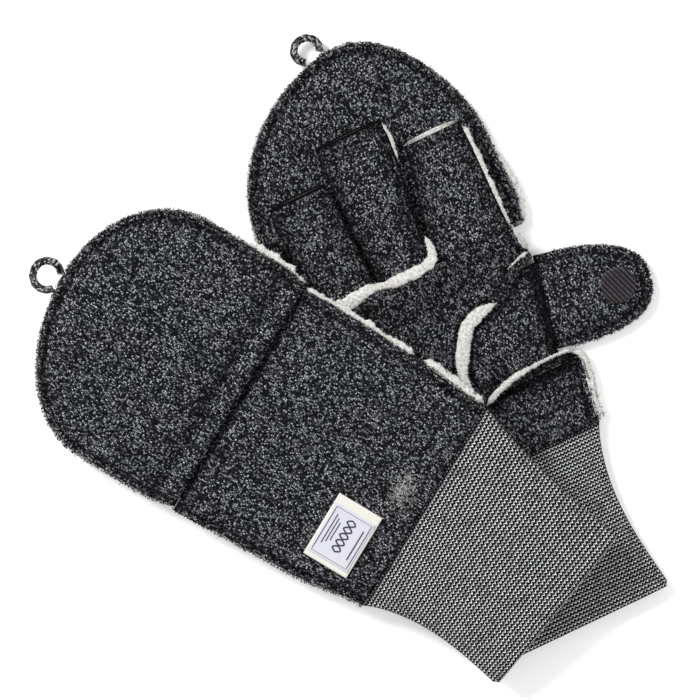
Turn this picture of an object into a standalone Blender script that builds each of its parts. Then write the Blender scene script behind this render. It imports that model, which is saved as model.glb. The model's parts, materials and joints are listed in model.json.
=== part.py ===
"""A pair of convertible flip-top mittens, knit face with a fleece back.

The right mitten lies palm up on the ground. The left mitten lies back up across it, so it is
tilted: its outer edge is on the ground and its thumb edge is on the right mitten.
Both are built by the same functions in a mitten frame, in millimetres:
u runs across the hand towards the thumb, v runs towards the fingertips from the knuckle line,
and h runs from the outer face of the back towards the palm.
"""
import math

import bpy
from mathutils import Euler, Vector

MM = 0.001

# Fabric and layer heights, mm
WALL = 1.8                 # bonded knit and fleece
GAP = 0.3                  # between two sewn pieces
HAND_TOP = 10.0            # palm face above the back face
CAP_TOP = 9.8              # palm face of the flip cap
STALL_H = 3.95             # half height of a finger stall
STALL_WALL = 1.1
STALL_LOW = CAP_TOP + 0.4  # stalls lie on the cap's palm panel
ROOT_TOP = STALL_LOW + 9.2
RAMP = 22.0                # the palm rises over this length to reach the stalls
HAND_LEN = 97.5            # knuckle line to cuff seam
CUFF_H = 4.75
CUFF_WALL = 1.7
THUMB_H = 4.4
THUMB_MID = 4.6
THUMB_WALL = 1.2
THUMB_LEN = 50.0
THUMB_HALF = 22.3
COLLAR = 8.0               # thumb stall, from the hand to the thumb cap's hem
CORD_R = 1.7
PAD_R = 8.2
PAD_T = 1.0
SOFT = 4.0                 # superellipse exponent of a flattened section
BAY_AT = (0.96, 0.88, 0.6, 0.0, -0.6, -0.88, -0.96)  # stations of the thumb gusset

# How the pair lies, in mm and degrees: knuckle centre, turn about +Z, tilt
RIGHT_AT = (29.76, 39.39)
RIGHT_TURN = 25.4
LEFT_AT = (-50.64, -16.61)
LEFT_TURN = 58.95
LEFT_TILT = 10.9

KNIT = ("heather_knit", (0.012, 0.013, 0.016), 0.95)
FLEECE = ("white_fleece", (0.72, 0.70, 0.66), 1.0)
CUFF_KNIT = ("cuff_knit", (0.10, 0.10, 0.11), 0.95)
MARL = ("marled_cord", (0.20, 0.20, 0.21), 0.9)
RUBBER = ("pad_rubber", (0.012, 0.006, 0.012), 0.5)
WOVEN = ("label_woven", (0.52, 0.50, 0.54), 0.85)


def smooth(x):
    """0 to 1 with level ends."""
    x = min(max(x, 0.0), 1.0)
    return x * x * (3.0 - 2.0 * x)


def bow(x, power=2.0):
    """Superellipse fall from 1 at x = 0 to 0 at x = 1."""
    x = min(max(x, 0.0), 1.0)
    return (1.0 - x ** power) ** (1.0 / power)


def polyline(points):
    """A function of v through a few (v, value) points, eased between them."""
    def at(v):
        for (v0, a), (v1, b) in zip(points, points[1:]):
            if v >= v1:
                return a + (b - a) * smooth((v0 - v) / (v0 - v1))
        return points[-1][1]
    return at


def clear_scene():
    for obj in list(bpy.data.objects):
        bpy.data.objects.remove(obj, do_unlink=True)


def material(spec):
    name, colour, roughness = spec
    found = bpy.data.materials.get(name)
    if found:
        return found
    mat = bpy.data.materials.new(name)
    mat.use_nodes = True
    shader = mat.node_tree.nodes["Principled BSDF"]
    shader.inputs["Base Color"].default_value = (*colour, 1.0)
    shader.inputs["Roughness"].default_value = roughness
    shader.inputs["Metallic"].default_value = 0.0
    return mat


class Mitten:
    """Places pieces given in (u, v, h). The left mitten is the mirror image, back side up."""

    def __init__(self, name, at, turn, tilt, flip):
        self.name = name
        self.flip = flip
        self.frame = bpy.data.objects.new(name + "_mitten", None)
        bpy.context.collection.objects.link(self.frame)
        self.frame.location = (at[0] * MM, at[1] * MM, 0.0)
        self.frame.rotation_euler = Euler((0.0, -math.radians(tilt), math.radians(turn)))
        self.pivots = {}
        self.pieces = []

    def local(self, p):
        u, v, h = p
        return Vector((u, v, -h if self.flip else h)) * MM

    def pivot(self, name, p, parent=None):
        """An empty on a joint axis."""
        empty = bpy.data.objects.new(f"{self.name}_{name}", None)
        bpy.context.collection.objects.link(empty)
        base = self.pivots[parent][1] if parent else Vector((0.0, 0.0, 0.0))
        empty.parent = self.pivots[parent][0] if parent else self.frame
        spot = self.local(p)
        empty.location = spot - base
        self.pivots[name] = (empty, spot)

    def add(self, name, verts, faces, mat, pivot=None, soft=True):
        """A closed solid; verts in (u, v, h)."""
        base = self.pivots[pivot][1] if pivot else Vector((0.0, 0.0, 0.0))
        mesh = bpy.data.meshes.new(f"{self.name}_{name}")
        if self.flip:
            faces = [tuple(reversed(f)) for f in faces]
        mesh.from_pydata([self.local(p) - base for p in verts], [], faces)
        mesh.materials.append(material(mat))
        if soft:
            mesh.shade_smooth()
            mesh.set_sharp_from_angle(angle=math.radians(50))
        obj = bpy.data.objects.new(f"{self.name}_{name}", mesh)
        bpy.context.collection.objects.link(obj)
        obj.parent = self.pivots[pivot][0] if pivot else self.frame
        self.pieces.append(obj)
        return obj


def section(count):
    """(s, f) pairs from edge to edge of half a flattened section."""
    pairs = []
    for i in range(count + 1):
        angle = math.pi * (1.0 - i / count)
        c, s = math.cos(angle), abs(math.sin(angle))
        pairs.append((math.copysign(abs(c) ** (2.0 / SOFT), c), s ** (2.0 / SOFT)))
    pairs[0], pairs[-1] = (-1.0, 0.0), (1.0, 0.0)
    return pairs


def panel(rows, wall, inward, across=12, tip_wall=0.0):
    """A dished cloth panel. Each row is (left, right, face, rim_left, rim_right), where left and
    right are (u, v) ends, face is the height of the outer face and rim the height of its edge.
    inward is +1 for a back panel and -1 for a palm panel."""
    pairs = section(across)
    outer, inner = [], []
    last = len(rows) - 1
    for j, (left, right, face, rim_l, rim_r) in enumerate(rows):
        a, b = Vector(left), Vector(right)
        half = (b - a).length / 2.0
        shrink = max(half - wall, half * 0.5) / half
        mid = (a + b) / 2.0
        back = tip_wall * (j / last) ** 4
        for s, f in pairs:
            rim = rim_l if s < 0 else rim_r
            spot = mid + (b - a) / 2.0 * s
            outer.append((spot.x, spot.y, rim + (face - rim) * f))
            inside = face + inward * wall
            if inward * (inside - rim) > 0.0:
                inside = rim
            spot = mid + (b - a) / 2.0 * s * shrink
            inner.append((spot.x, spot.y - back, rim + (inside - rim) * f))
    n, m = len(pairs), len(rows)
    off = n * m
    faces = []
    for j in range(m - 1):
        for i in range(n - 1):
            q = (j * n + i, j * n + i + 1, (j + 1) * n + i + 1, (j + 1) * n + i)
            faces.append(q)
            faces.append(tuple(off + k for k in reversed(q)))
        for i, turn in ((0, 1), (n - 1, -1)):
            q = (j * n + i, (j + 1) * n + i, off + (j + 1) * n + i, off + j * n + i)
            faces.append(q[::turn])
    for i in range(n - 1):
        faces.append((i + 1, i, off + i, off + i + 1))
        k = (m - 1) * n + i
        faces.append((k, k + 1, off + k + 1, off + k))
    if inward > 0:
        faces = [tuple(reversed(f)) for f in faces]
    return outer + inner, faces


def ring(centre, half_vec, height, roll, count, power=2.6):
    """A flattened closed section: half_vec is its half width in (u, v)."""
    points = []
    for i in range(count):
        angle = 2.0 * math.pi * i / count
        c, s = math.cos(angle), math.sin(angle)
        x = math.copysign(abs(c) ** (2.0 / power), c)
        z = math.copysign(abs(s) ** (2.0 / power), s)
        spot = Vector(centre[:2]) + half_vec * x
        points.append((spot.x, spot.y, centre[2] + height * z + roll * half_vec.length * x))
    return points


def tube(rings_out, rings_in, closed_tip=False):
    """A cloth tube from matching outer and inner rings, open at both ends or closed at the last."""
    n, m = len(rings_out[0]), len(rings_out)
    verts = [p for r in rings_out for p in r] + [p for r in rings_in for p in r]
    off = n * m
    faces = []
    for j in range(m - 1):
        for i in range(n):
            k = (i + 1) % n
            q = (j * n + i, j * n + k, (j + 1) * n + k, (j + 1) * n + i)
            faces.append(q)
            faces.append(tuple(off + p for p in reversed(q)))
    for i in range(n):
        k = (i + 1) % n
        faces.append((k, i, off + i, off + k))
        if not closed_tip:
            j = (m - 1) * n
            faces.append((j + i, j + k, off + j + k, off + j + i))
    if closed_tip:
        j = (m - 1) * n
        faces.append(tuple(j + i for i in range(n)))
        faces.append(tuple(off + j + i for i in reversed(range(n))))
    return verts, faces


def outward(verts, faces):
    """Turns the faces of a closed solid outwards."""
    volume = 0.0
    for f in faces:
        a = Vector(verts[f[0]])
        for p, q in zip(f[1:], f[2:]):
            volume += a.dot(Vector(verts[p]).cross(Vector(verts[q])))
    if volume < 0.0:
        faces = [tuple(reversed(f)) for f in faces]
    return verts, faces


def ribbon(path, width, low, thick):
    """A flat strip along a (u, v) path; low is its underside height as a function of (u, v)."""
    left, right = [], []
    for i, p in enumerate(path):
        a = Vector(path[max(i - 1, 0)])
        b = Vector(path[min(i + 1, len(path) - 1)])
        side = (b - a).normalized().orthogonal() * width / 2.0
        left.append(Vector(p) + side)
        right.append(Vector(p) - side)
    verts = []
    for a, b in zip(left, right):
        for spot, up in ((a, 0.0), (b, 0.0), (b, thick), (a, thick)):
            verts.append((spot.x, spot.y, low(spot.x, spot.y) + up))
    faces = [(0, 1, 2, 3)]
    for j in range(len(path) - 1):
        for i in range(4):
            k = (i + 1) % 4
            faces.append((j * 4 + i, (j + 1) * 4 + i, (j + 1) * 4 + k, j * 4 + k))
    j = (len(path) - 1) * 4
    faces.append((j + 3, j + 2, j + 1, j))
    return outward(verts, faces)


def hand_rise(v):
    """How far the palm rises towards the finger stalls."""
    return (ROOT_TOP - HAND_TOP) * smooth((v + RAMP) / RAMP)


def thumb_zone(v, shape):
    """1 where the thumb opens from the hand's side, 0 elsewhere."""
    lo, hi = shape["thumb_v"]
    return smooth((hi + 5.0 - v) / 5.0) * smooth((v - lo + 5.0) / 5.0)


def bay(x):
    """Left edge of the thumb gusset, x from -1 at the heel to 1 at the index side."""
    return bow(abs(x), 3.0)


def build_hand(m, shape):
    left, right = polyline(shape["left"]), polyline(shape["right"])
    mid = HAND_TOP / 2.0
    flat = WALL
    lo, hi = shape["bay_v"]
    centre, reach = (lo + hi) / 2.0, (hi - lo) / 2.0
    stations = [-0.5, -5.0, -10.0, -14.0, -17.0, -22.0, -32.0, -45.0, -58.0, -66.0, -80.0]
    stations.append(-HAND_LEN)

    rows = []
    for v in stations:
        low = smooth((v + 22.0) / 6.0)
        rim_l = (mid - GAP / 2.0) * (1.0 - low) + flat * low
        low_r = max(low, thumb_zone(v, shape))
        rim_r = (mid - GAP / 2.0) * (1.0 - low_r) + flat * low_r
        rows.append(((left(v), v), (right(v), v), 0.0, rim_l, rim_r))
    m.add("back_shell", *outward(*panel(rows, WALL, 1)), KNIT)

    # Palm: its thumb side is cut back in a bay that the gusset fills.
    bays = [centre + reach * x for x in (0.999, *BAY_AT, -0.999)]
    stations = [-0.5, -5.0, -10.0, -15.0] + bays + [-74.0, -85.0, -HAND_LEN]
    rows = []
    for v in stations:
        x = (v - centre) / reach
        depth = shape["gusset"] * bay(x) if abs(x) < 1.0 else 0.0
        top = HAND_TOP + hand_rise(v)
        under = smooth((v + 22.0) / 6.0)
        knuckle = STALL_LOW - (STALL_LOW - 2.6) * smooth(-v / 16.0)
        edge = (mid + GAP / 2.0) * (1.0 - under) + ((knuckle + top) / 2.0 + GAP / 2.0) * under
        flat_top = top - WALL
        open_r = max(thumb_zone(v, shape), 1.0 if depth > 1.0 else 0.0)
        rim_r = edge * (1.0 - open_r) + flat_top * open_r
        rows.append(((left(v), v), (right(v) - depth, v), top, edge, rim_r))
    m.add("palm_shell", *outward(*panel(rows, WALL, -1)), KNIT)

    rows = []
    for x in BAY_AT:
        v = centre + reach * x
        shown = centre + reach * x * 0.97
        top = HAND_TOP + hand_rise(v)
        edge_u = right(v) - shape["gusset"] * bay(x) + 0.45
        rows.append(((edge_u, shown), (right(shown), shown), top, top - WALL, top - WALL))
    m.add("thumb_gusset", *outward(*panel(rows, WALL, -1, across=8)), KNIT)

    # Back of the finger roots, from inside the hand up to the stalls.
    rows = []
    for v in (-0.5, -5.0, -10.0, -16.0):
        low = STALL_LOW - (STALL_LOW - 2.6) * smooth(-v / 16.0)
        top = HAND_TOP + hand_rise(v)
        rim = (low + top) / 2.0 - GAP / 2.0
        rows.append(((left(v), v), (right(v), v), low, rim, rim))
    m.add("knuckle_panel", *outward(*panel(rows, 1.5, 1)), KNIT)


def build_cuff(m, shape):
    outs, ins = [], []
    (l0, r0), (l1, r1) = shape["cuff_seam"], shape["cuff_end"]
    for t in (0.0, 0.2, 0.5, 0.8, 0.96, 1.0):
        a = Vector(l0).lerp(Vector(l1), t)
        b = Vector(r0).lerp(Vector(r1), t)
        half = (b - a) / 2.0
        high = CUFF_H * (1.0 - 0.06 * smooth((t - 0.9) / 0.1))
        centre = ((a.x + b.x) / 2.0, (a.y + b.y) / 2.0, HAND_TOP / 2.0)
        outs.append(ring(centre, half, high, 0.0, 24, 3.2))
        inner = half * ((half.length - CUFF_WALL) / half.length)
        ins.append(ring(centre, inner, high - CUFF_WALL, 0.0, 24, 3.2))
    m.add("cuff", *outward(*tube(outs, ins)), CUFF_KNIT)


def build_cap(m, shape):
    tip, round_len = shape["cap_tip"], shape["cap_round"]
    wide_l, wide_r = shape["cap_wide"]
    mid = CAP_TOP / 2.0
    m.pivot("cap_axis", (0.0, 0.0, -0.3))

    def row(v, side, low_rim):
        reach = (v - tip + round_len) / round_len
        gl, gr = (max(bow(reach, p), 7.0 / 59.0) for p in shape["cap_power"])
        waist = 1.0 - 0.04 * smooth((14.0 - v) / 14.0)
        lean = shape["tip_u"] * max(v / tip, 0.0) ** 6
        drop = max(bow((v - tip + 24.0) / 24.0, 2.4), 0.02)
        face = mid - side * mid * drop
        rim = mid - side * GAP / 2.0
        rim = rim * (1.0 - low_rim) + (face + side * WALL) * low_rim
        ends = ((lean - wide_l * gl * waist, v), (lean + wide_r * gr * waist, v))
        return (*ends, face, rim, rim)

    rows = []
    for j in range(11):
        v = 0.4 + (tip - 0.4) * math.sin(math.pi / 2.0 * j / 10.0)
        rows.append(row(v, 1, 0.0 if j else 0.6))
    m.add("cap_back", *outward(*panel(rows, WALL, 1, tip_wall=WALL)), KNIT, "cap_axis")
    rows = []
    for j in range(11):
        v = 1.5 + (tip - 1.5) * math.sin(math.pi / 2.0 * j / 10.0)
        rows.append(row(v, -1, 0.0))
    m.add("cap_front", *outward(*panel(rows, WALL, -1, tip_wall=WALL)), KNIT, "cap_axis")

    # Pull loop at the tip, a C of cord whose two ends meet the seam.
    verts, count, steps = [], 8, 16
    loop_u, loop_v, loop_r, first, sweep = shape["loop"]
    for j in range(steps + 1):
        angle = math.radians(first + sweep * j / steps)
        spot = Vector((loop_u + (loop_r + 0.4) * math.cos(angle),
                       loop_v + 7.2 + loop_r * math.sin(angle)))
        out = Vector((math.cos(angle) * 6.4, math.sin(angle) * 6.8)).normalized()
        for i in range(count):
            turn = 2.0 * math.pi * i / count
            side = out * CORD_R * math.cos(turn)
            verts.append((spot.x + side.x, spot.y + side.y, mid + CORD_R * math.sin(turn)))
    faces = [tuple(range(count)), tuple(steps * count + i for i in reversed(range(count)))]
    for j in range(steps):
        for i in range(count):
            k = (i + 1) % count
            a, b = j * count, (j + 1) * count
            faces.append((a + i, b + i, b + k, a + k))
    m.add("cap_loop", *outward(verts, faces), MARL, "cap_axis")


def build_stalls(m, shape):
    hinge_h = ROOT_TOP + 0.3
    for name, base_l, base_r, tip_l, tip_r, length, roll in shape["stalls"]:
        mid_u = (base_l + base_r) / 2.0
        m.pivot(name + "_axis", (mid_u, 0.0, hinge_h))
        outs, ins = [], []
        for t in (0.0, 0.25, 0.65, 0.93, 1.0):
            v = 0.4 + (length - 0.4) * t
            a = base_l + (tip_l - base_l) * smooth(t)
            b = base_r + (tip_r - base_r) * smooth(t)
            half = (b - a) / 2.0 * (1.0 - 0.04 * smooth((t - 0.8) / 0.2))
            height = STALL_H * (1.0 - 0.02 * smooth((t - 0.8) / 0.2))
            base = 0.6 * (1.0 - smooth(t / 0.25))
            centre = ((a + b) / 2.0, v, STALL_LOW + STALL_H + base - roll * half * smooth(t * 1.6))
            lean = roll * smooth(t * 1.6)
            outs.append(ring(centre, Vector((half, 0.0)), height, lean, 14))
            inner = Vector((half - STALL_WALL, 0.0))
            ins.append(ring(centre, inner, height - STALL_WALL, lean, 14))
        m.add(name + "_stall", *outward(*tube(outs, ins)), KNIT, name + "_axis")


def build_thumb(m, shape):
    """The thumb's collar, flip cap and round pad. folded turns it over onto the palm."""
    root = Vector(shape["thumb_root"])
    along = Vector(shape["thumb_dir"]).normalized()
    chord = Vector((-along.y, along.x))
    axis_h = 10.35
    hinge = (root.x, root.y, axis_h)
    m.pivot("thumb_axis", hinge)
    fold = -1.0 if shape["thumb_folded"] else 1.0

    def place(points):
        """Half a turn about the hinge line, for the thumb that lies folded on the palm."""
        if fold > 0:
            return points
        turned = []
        for u, v, h in points:
            rel = Vector((u, v)) - root
            x, y = rel.dot(along), rel.dot(chord)
            spot = root - along * x + chord * y
            turned.append((spot.x, spot.y, 2.0 * axis_h - h))
        return turned

    def rings(spans, wall, tip_wall):
        outs, ins = [], []
        for x in spans:
            t = x / THUMB_LEN
            half = THUMB_HALF * max(bow(t, 2.6), 0.16)
            high = THUMB_H * max(bow((x - THUMB_LEN + 14.0) / 14.0, 2.4), 0.3)
            spot = root + along * x
            centre = (spot.x, spot.y, THUMB_MID)
            outs.append(ring(centre, chord * half, high, 0.0, 16, 3.0))
            back = tip_wall * smooth((t - 0.7) / 0.3)
            spot = root + along * (x - back)
            centre = (spot.x, spot.y, THUMB_MID)
            thin = min(wall, half * 0.4)
            ins.append(ring(centre, chord * (half - thin), max(high - wall, 0.5), 0.0, 16, 3.0))
        return outs, ins

    spans = (0.6, COLLAR - 0.4)
    verts, faces = tube(*rings(spans, THUMB_WALL, 0.0))
    m.add("thumb_stall", *outward(place(verts), faces), KNIT, "thumb_axis")
    hem = root + along * (fold * COLLAR)
    back_h = -0.1 if fold > 0 else 2.0 * axis_h + 0.1
    m.pivot("thumb_cap_axis", (hem.x, hem.y, back_h), "thumb_axis")
    spans = [COLLAR + 0.2 + (THUMB_LEN - COLLAR - 0.2) * math.sin(math.pi / 2.0 * j / 7.0)
             for j in range(8)]
    verts, faces = tube(*rings(spans, THUMB_WALL, THUMB_WALL), closed_tip=True)
    m.add("thumb_cap", *outward(place(verts), faces), KNIT, "thumb_cap_axis")

    pad_at = root + along * 34.7
    top = THUMB_MID + THUMB_H + GAP
    verts = []
    for r, h in ((PAD_R, 0.0), (PAD_R, PAD_T * 0.6), (PAD_R - 0.6, PAD_T)):
        for i in range(20):
            angle = 2.0 * math.pi * i / 20
            verts.append((pad_at.x + r * math.cos(angle), pad_at.y + r * math.sin(angle), top + h))
    faces = [tuple(reversed(range(20))), tuple(40 + i for i in range(20))]
    for j in (0, 20):
        for i in range(20):
            k = (i + 1) % 20
            faces.append((j + i, j + k, j + 20 + k, j + 20 + i))
    m.add("thumb_pad", *outward(place(verts), faces), RUBBER, "thumb_cap_axis")


def build_edges(m, shape):
    """Raw edges of the fabric, turned out so that the white fleece shows."""
    left, right = polyline(shape["left"]), polyline(shape["right"])
    lo, hi = shape["bay_v"]
    centre, reach = (lo + hi) / 2.0, (hi - lo) / 2.0

    def on_palm(u, v):
        return HAND_TOP + hand_rise(v) + GAP

    path = []
    for j in range(13):
        x = math.cos(math.radians(38.0 + 118.0 * j / 12.0))
        v = centre + reach * x
        path.append((right(v) - shape["gusset"] * bay(x) - 1.0, v))
    m.add("thumb_seam_edge", *ribbon(path, 4.5, on_palm, 0.9), FLEECE)

    stalls = {stall[0]: stall for stall in shape["stalls"]}
    little_edge, middle_edge = stalls["little"][1], stalls["middle"][2]
    path = [(little_edge + 8.0 + (middle_edge - little_edge - 10.0) * j / 6.0, -4.0)
            for j in range(7)]
    m.add("finger_seam_edge", *ribbon(path, 4.0, on_palm, 0.9), FLEECE)

    path = [(right(v) + 1.9, v) for v in (-69.0, -78.0, -87.0, -HAND_LEN + 1.0)]
    m.add("heel_seam_edge", *ribbon(path, 3.0, lambda u, v: 4.0, 2.0), FLEECE)


def build_label(m):
    """Sewn label near the cuff, on the back."""
    u0, u1, v0, v1 = -47.5, -14.5, -84.5, -61.7
    verts = [(u, v, h) for h in (-0.3, -1.2) for u, v in ((u0, v0), (u1, v0), (u1, v1), (u0, v1))]
    faces = [(0, 1, 2, 3), (7, 6, 5, 4)]
    faces += [(i, i + 4, (i + 1) % 4 + 4, (i + 1) % 4) for i in range(4)]
    m.add("label", *outward(verts, faces), WOVEN, soft=False)


RIGHT = {
    "left": [(0.0, -66.0), (-40.0, -65.0), (-HAND_LEN, -58.0)],
    "right": [(0.0, 49.0), (-16.0, 51.6), (-58.0, 42.6), (-68.0, 52.0), (-HAND_LEN, 47.5)],
    "cuff_seam": ((-58.0, -98.1), (47.5, -98.1)),
    "cuff_end": ((-44.5, -180.0), (44.5, -180.0)),
    "cap_tip": 109.5, "cap_round": 65.0, "cap_wide": (59.0, 57.0), "cap_power": (1.8, 1.85),
    "tip_u": 10.0, "loop": (-1.3, 107.6, 5.6, -25.0, 260.0),
    "stalls": [
        ("index", 10.5, 48.0, 19.0, 48.5, 55.0, 0.0),
        ("middle", -18.0, 9.0, -18.5, 16.0, 71.0, 0.0),
        ("ring", -48.5, -19.0, -49.5, -19.5, 55.0, 0.0),
        ("little", -65.5, -49.5, -74.0, -51.0, 40.0, 0.16),
    ],
    "thumb_root": (47.9, -37.5), "thumb_dir": (0.978, -0.21), "thumb_v": (-59.5, -15.5),
    "bay_v": (-66.0, -17.0), "thumb_folded": False, "gusset": 47.0,
}

LEFT = {
    "left": [(0.0, -62.5), (-60.0, -60.5), (-HAND_LEN, -56.0)],
    "right": [(0.0, 56.5), (-20.0, 57.0), (-62.0, 56.0), (-HAND_LEN, 53.5)],
    "cuff_seam": ((-56.0, -98.1), (53.5, -98.1)),
    "cuff_end": ((-55.5, -169.4), (33.5, -180.4)),
    "cap_tip": 97.0, "cap_round": 47.0, "cap_wide": (64.0, 60.5), "cap_power": (2.0, 2.1),
    "tip_u": 3.0, "loop": (0.5, 96.8, 6.4, -48.0, 276.0),
    "stalls": [
        ("index", 25.0, 54.0, 25.0, 52.0, 54.0, 0.0),
        ("middle", -7.0, 24.0, -7.0, 24.0, 66.0, 0.0),
        ("ring", -36.0, -8.0, -36.0, -8.0, 56.0, 0.0),
        ("little", -59.0, -37.0, -58.0, -37.0, 40.0, 0.0),
    ],
    "thumb_root": (57.6, -42.5), "thumb_dir": (1.0, 0.0), "thumb_v": (-64.5, -20.0),
    "bay_v": (-66.0, -18.0), "thumb_folded": True, "gusset": 47.0,
}


def build_mitten(name, at, turn, tilt, flip, shape):
    m = Mitten(name, at, turn, tilt, flip)
    build_hand(m, shape)
    build_cuff(m, shape)
    build_cap(m, shape)
    build_stalls(m, shape)
    build_thumb(m, shape)
    build_edges(m, shape)
    return m


clear_scene()
right_mitten = build_mitten("right", RIGHT_AT, RIGHT_TURN, 0.0, False, RIGHT)
left_mitten = build_mitten("left", LEFT_AT, LEFT_TURN, LEFT_TILT, True, LEFT)
build_label(left_mitten)

# The left mitten rests on the ground with the lowest point of its finger stalls.
bpy.context.view_layer.update()
lowest = min((obj.matrix_world @ v.co).z for obj in left_mitten.pieces for v in obj.data.vertices)
left_mitten.frame.location.z -= lowest
bpy.context.view_layer.update()
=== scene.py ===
"""Looks of a pair of convertible flip-top mittens: heather knit outside, white fleece inside.

Every piece is made in its mitten's own frame, in millimetres: u runs across the hand towards the
thumb, v towards the fingertips from the knuckle line, and h from the outer face of the back
towards the palm. Mitten.world() then lays it where the CAD frame has it.
"""
import json
import math

import bpy
import numpy as np
from mathutils import Euler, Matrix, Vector


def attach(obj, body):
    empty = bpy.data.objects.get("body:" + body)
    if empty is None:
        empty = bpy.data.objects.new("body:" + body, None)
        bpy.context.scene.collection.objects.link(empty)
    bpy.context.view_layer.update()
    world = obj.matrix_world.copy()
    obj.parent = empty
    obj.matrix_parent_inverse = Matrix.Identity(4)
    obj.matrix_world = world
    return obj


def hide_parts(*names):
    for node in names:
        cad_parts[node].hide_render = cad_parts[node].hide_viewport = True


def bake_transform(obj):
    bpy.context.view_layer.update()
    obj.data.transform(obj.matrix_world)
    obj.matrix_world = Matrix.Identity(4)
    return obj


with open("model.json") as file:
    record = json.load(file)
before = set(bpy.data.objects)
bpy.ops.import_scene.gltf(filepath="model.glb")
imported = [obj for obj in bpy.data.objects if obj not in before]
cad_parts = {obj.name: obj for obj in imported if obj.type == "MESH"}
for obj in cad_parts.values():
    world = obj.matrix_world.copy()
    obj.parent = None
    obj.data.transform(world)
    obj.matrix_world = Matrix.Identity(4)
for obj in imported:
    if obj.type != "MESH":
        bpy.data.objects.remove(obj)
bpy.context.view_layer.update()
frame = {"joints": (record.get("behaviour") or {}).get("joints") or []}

MM = 0.001
STRIP_STEP = 0.6                # mm between the rings of a fleece strip
UV_MM = 100.0                   # mm of cloth to one unit of the "rest" UV layer
THIRDS = (0.0, 2.0944, 4.1888)  # thirds of a turn, radians
CUFF_STITCH = 1.78              # mm, width and height of a cuff stitch
STALL_CLOTH = 1.3               # mm, cloth of a stall; its CAD node has 1.1
LONG_LIP = 1.5                  # mm; a lower lip longer than this shows fleece

# Layer heights and sizes, mm, as in the CAD model
WALL = 1.8
CUFF_WALL = 1.7
THUMB_WALL = 1.2
HAND_TOP = 10.0
CAP_TOP = 9.8
STALL_LOW = CAP_TOP + 0.4
STALL_H = 3.95
ROOT_TOP = STALL_LOW + 9.2
RAMP = 22.0
HAND_LEN = 97.5
CUFF_H = 4.75
THUMB_MID = 4.6
THUMB_H = 4.4
THUMB_LEN = 50.0
THUMB_HALF = 22.3
THUMB_FOLD_H = 10.35
COLLAR = 8.0
CORD_R = 1.7
PAD_R = 8.2
PAD_X = 34.7                    # pad's centre from the thumb's root
HAND_END = -97.9                # v of the hand panels' edge at the cuff

# How the pair lies: turn about +Z and tilt, degrees
RIGHT_LIES = (25.4, 0.0)
LEFT_LIES = (58.95, 10.9)

# Camera: straight down, as wide as the pair with a margin
LENS = 200.0
SENSOR = 36.0
VIEW_WIDTH = 0.322
VIEW_CENTRE = (-0.0006, 0.0041)
VIEW_HEIGHT = 0.012

# The thumb seam from beside the index finger down to the heel; the left one lies further out
THUMB_SEAM = [(34.0, -24.5), (27.0, -28.2), (18.5, -29.3), (11.4, -32.0), (6.7, -38.0),
              (2.6, -44.4), (-0.3, -51.3), (-0.8, -58.4), (2.0, -63.6), (11.4, -64.6),
              (24.0, -65.1), (36.0, -65.6), (49.0, -66.0)]
LEFT_SEAM_SHIFT = 7.0

RIGHT = {
    "left": [(0.0, -66.0), (-40.0, -65.0), (-HAND_LEN, -58.0)],
    "right": [(0.0, 49.0), (-16.0, 51.6), (-58.0, 42.6), (-68.0, 52.0), (-HAND_LEN, 47.5)],
    "cuff_seam": ((-58.0, -98.1), (47.5, -98.1)),
    "cuff_end": ((-44.5, -180.0), (44.5, -180.0)), "cuff_waist": (1.0, 5.0),
    "cap_tip": 109.5, "cap_round": 65.0, "cap_wide": (59.0, 57.0), "cap_power": (1.8, 1.85),
    "tip_u": 10.0, "loop": (-1.3, 107.6, 5.6, -25.0, 260.0),
    # name, left and right edge at the base and at the tip, length, roll, reach of the lower lip
    "stalls": [
        ("index", 10.5, 48.0, 19.0, 48.5, 55.0, 0.0, 1.9),
        ("middle", -18.0, 9.0, -18.5, 16.0, 71.0, 0.0, 1.2),
        ("ring", -48.5, -19.0, -49.5, -19.5, 55.0, 0.0, 1.2),
        ("little", -65.5, -49.5, -74.0, -51.0, 40.0, 0.16, 1.2),
    ],
    "thumb_root": (47.9, -37.5), "thumb_dir": (0.978, -0.21), "thumb_v": (-59.5, -15.5),
    "thumb_folded": False, "swell": 0.0,
    "bared": {"index": (1.0, 52.0, 2.9), "middle": (50.0, 69.0, 1.7)},
    "thumb_seam": [(50.0, -17.0), (41.0, -19.5), *THUMB_SEAM], "seam_shift": 0.0,
}

LABEL = (-47.5, -14.5, -84.5, -61.7)    # on the left mitten's back: u from, to, v from, to

LEFT = {
    "left": [(0.0, -62.5), (-60.0, -60.5), (-HAND_LEN, -56.0)],
    "right": [(0.0, 56.5), (-20.0, 57.0), (-62.0, 56.0), (-HAND_LEN, 53.5)],
    "cuff_seam": ((-56.0, -98.1), (53.5, -98.1)),
    "cuff_end": ((-55.5, -169.4), (33.5, -180.4)), "cuff_waist": (4.5, 1.0),
    "cap_tip": 97.0, "cap_round": 47.0, "cap_wide": (64.0, 60.5), "cap_power": (2.0, 2.1),
    "tip_u": 3.0, "loop": (0.5, 96.8, 6.4, -48.0, 276.0),
    "stalls": [
        ("index", 25.0, 54.0, 25.0, 52.0, 54.0, 0.0, 1.0),
        ("middle", -7.0, 24.0, -7.0, 24.0, 66.0, 0.0, 0.0),
        ("ring", -36.0, -8.0, -36.0, -8.0, 56.0, 0.0, 0.0),
        ("little", -59.0, -37.0, -58.0, -37.0, 40.0, 0.0, 0.0),
    ],
    "thumb_root": (56.0, -42.5), "thumb_dir": (1.0, 0.0), "thumb_v": (-64.5, -20.0),
    "thumb_folded": True, "swell": 1.4, "bared": {},
    "thumb_seam": [(57.5, -18.0), (49.0, -20.0),
                   *((u + LEFT_SEAM_SHIFT, v) for u, v in THUMB_SEAM)],
    "seam_shift": LEFT_SEAM_SHIFT,
}


# ---------------------------------------------------------------- numbers

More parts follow.
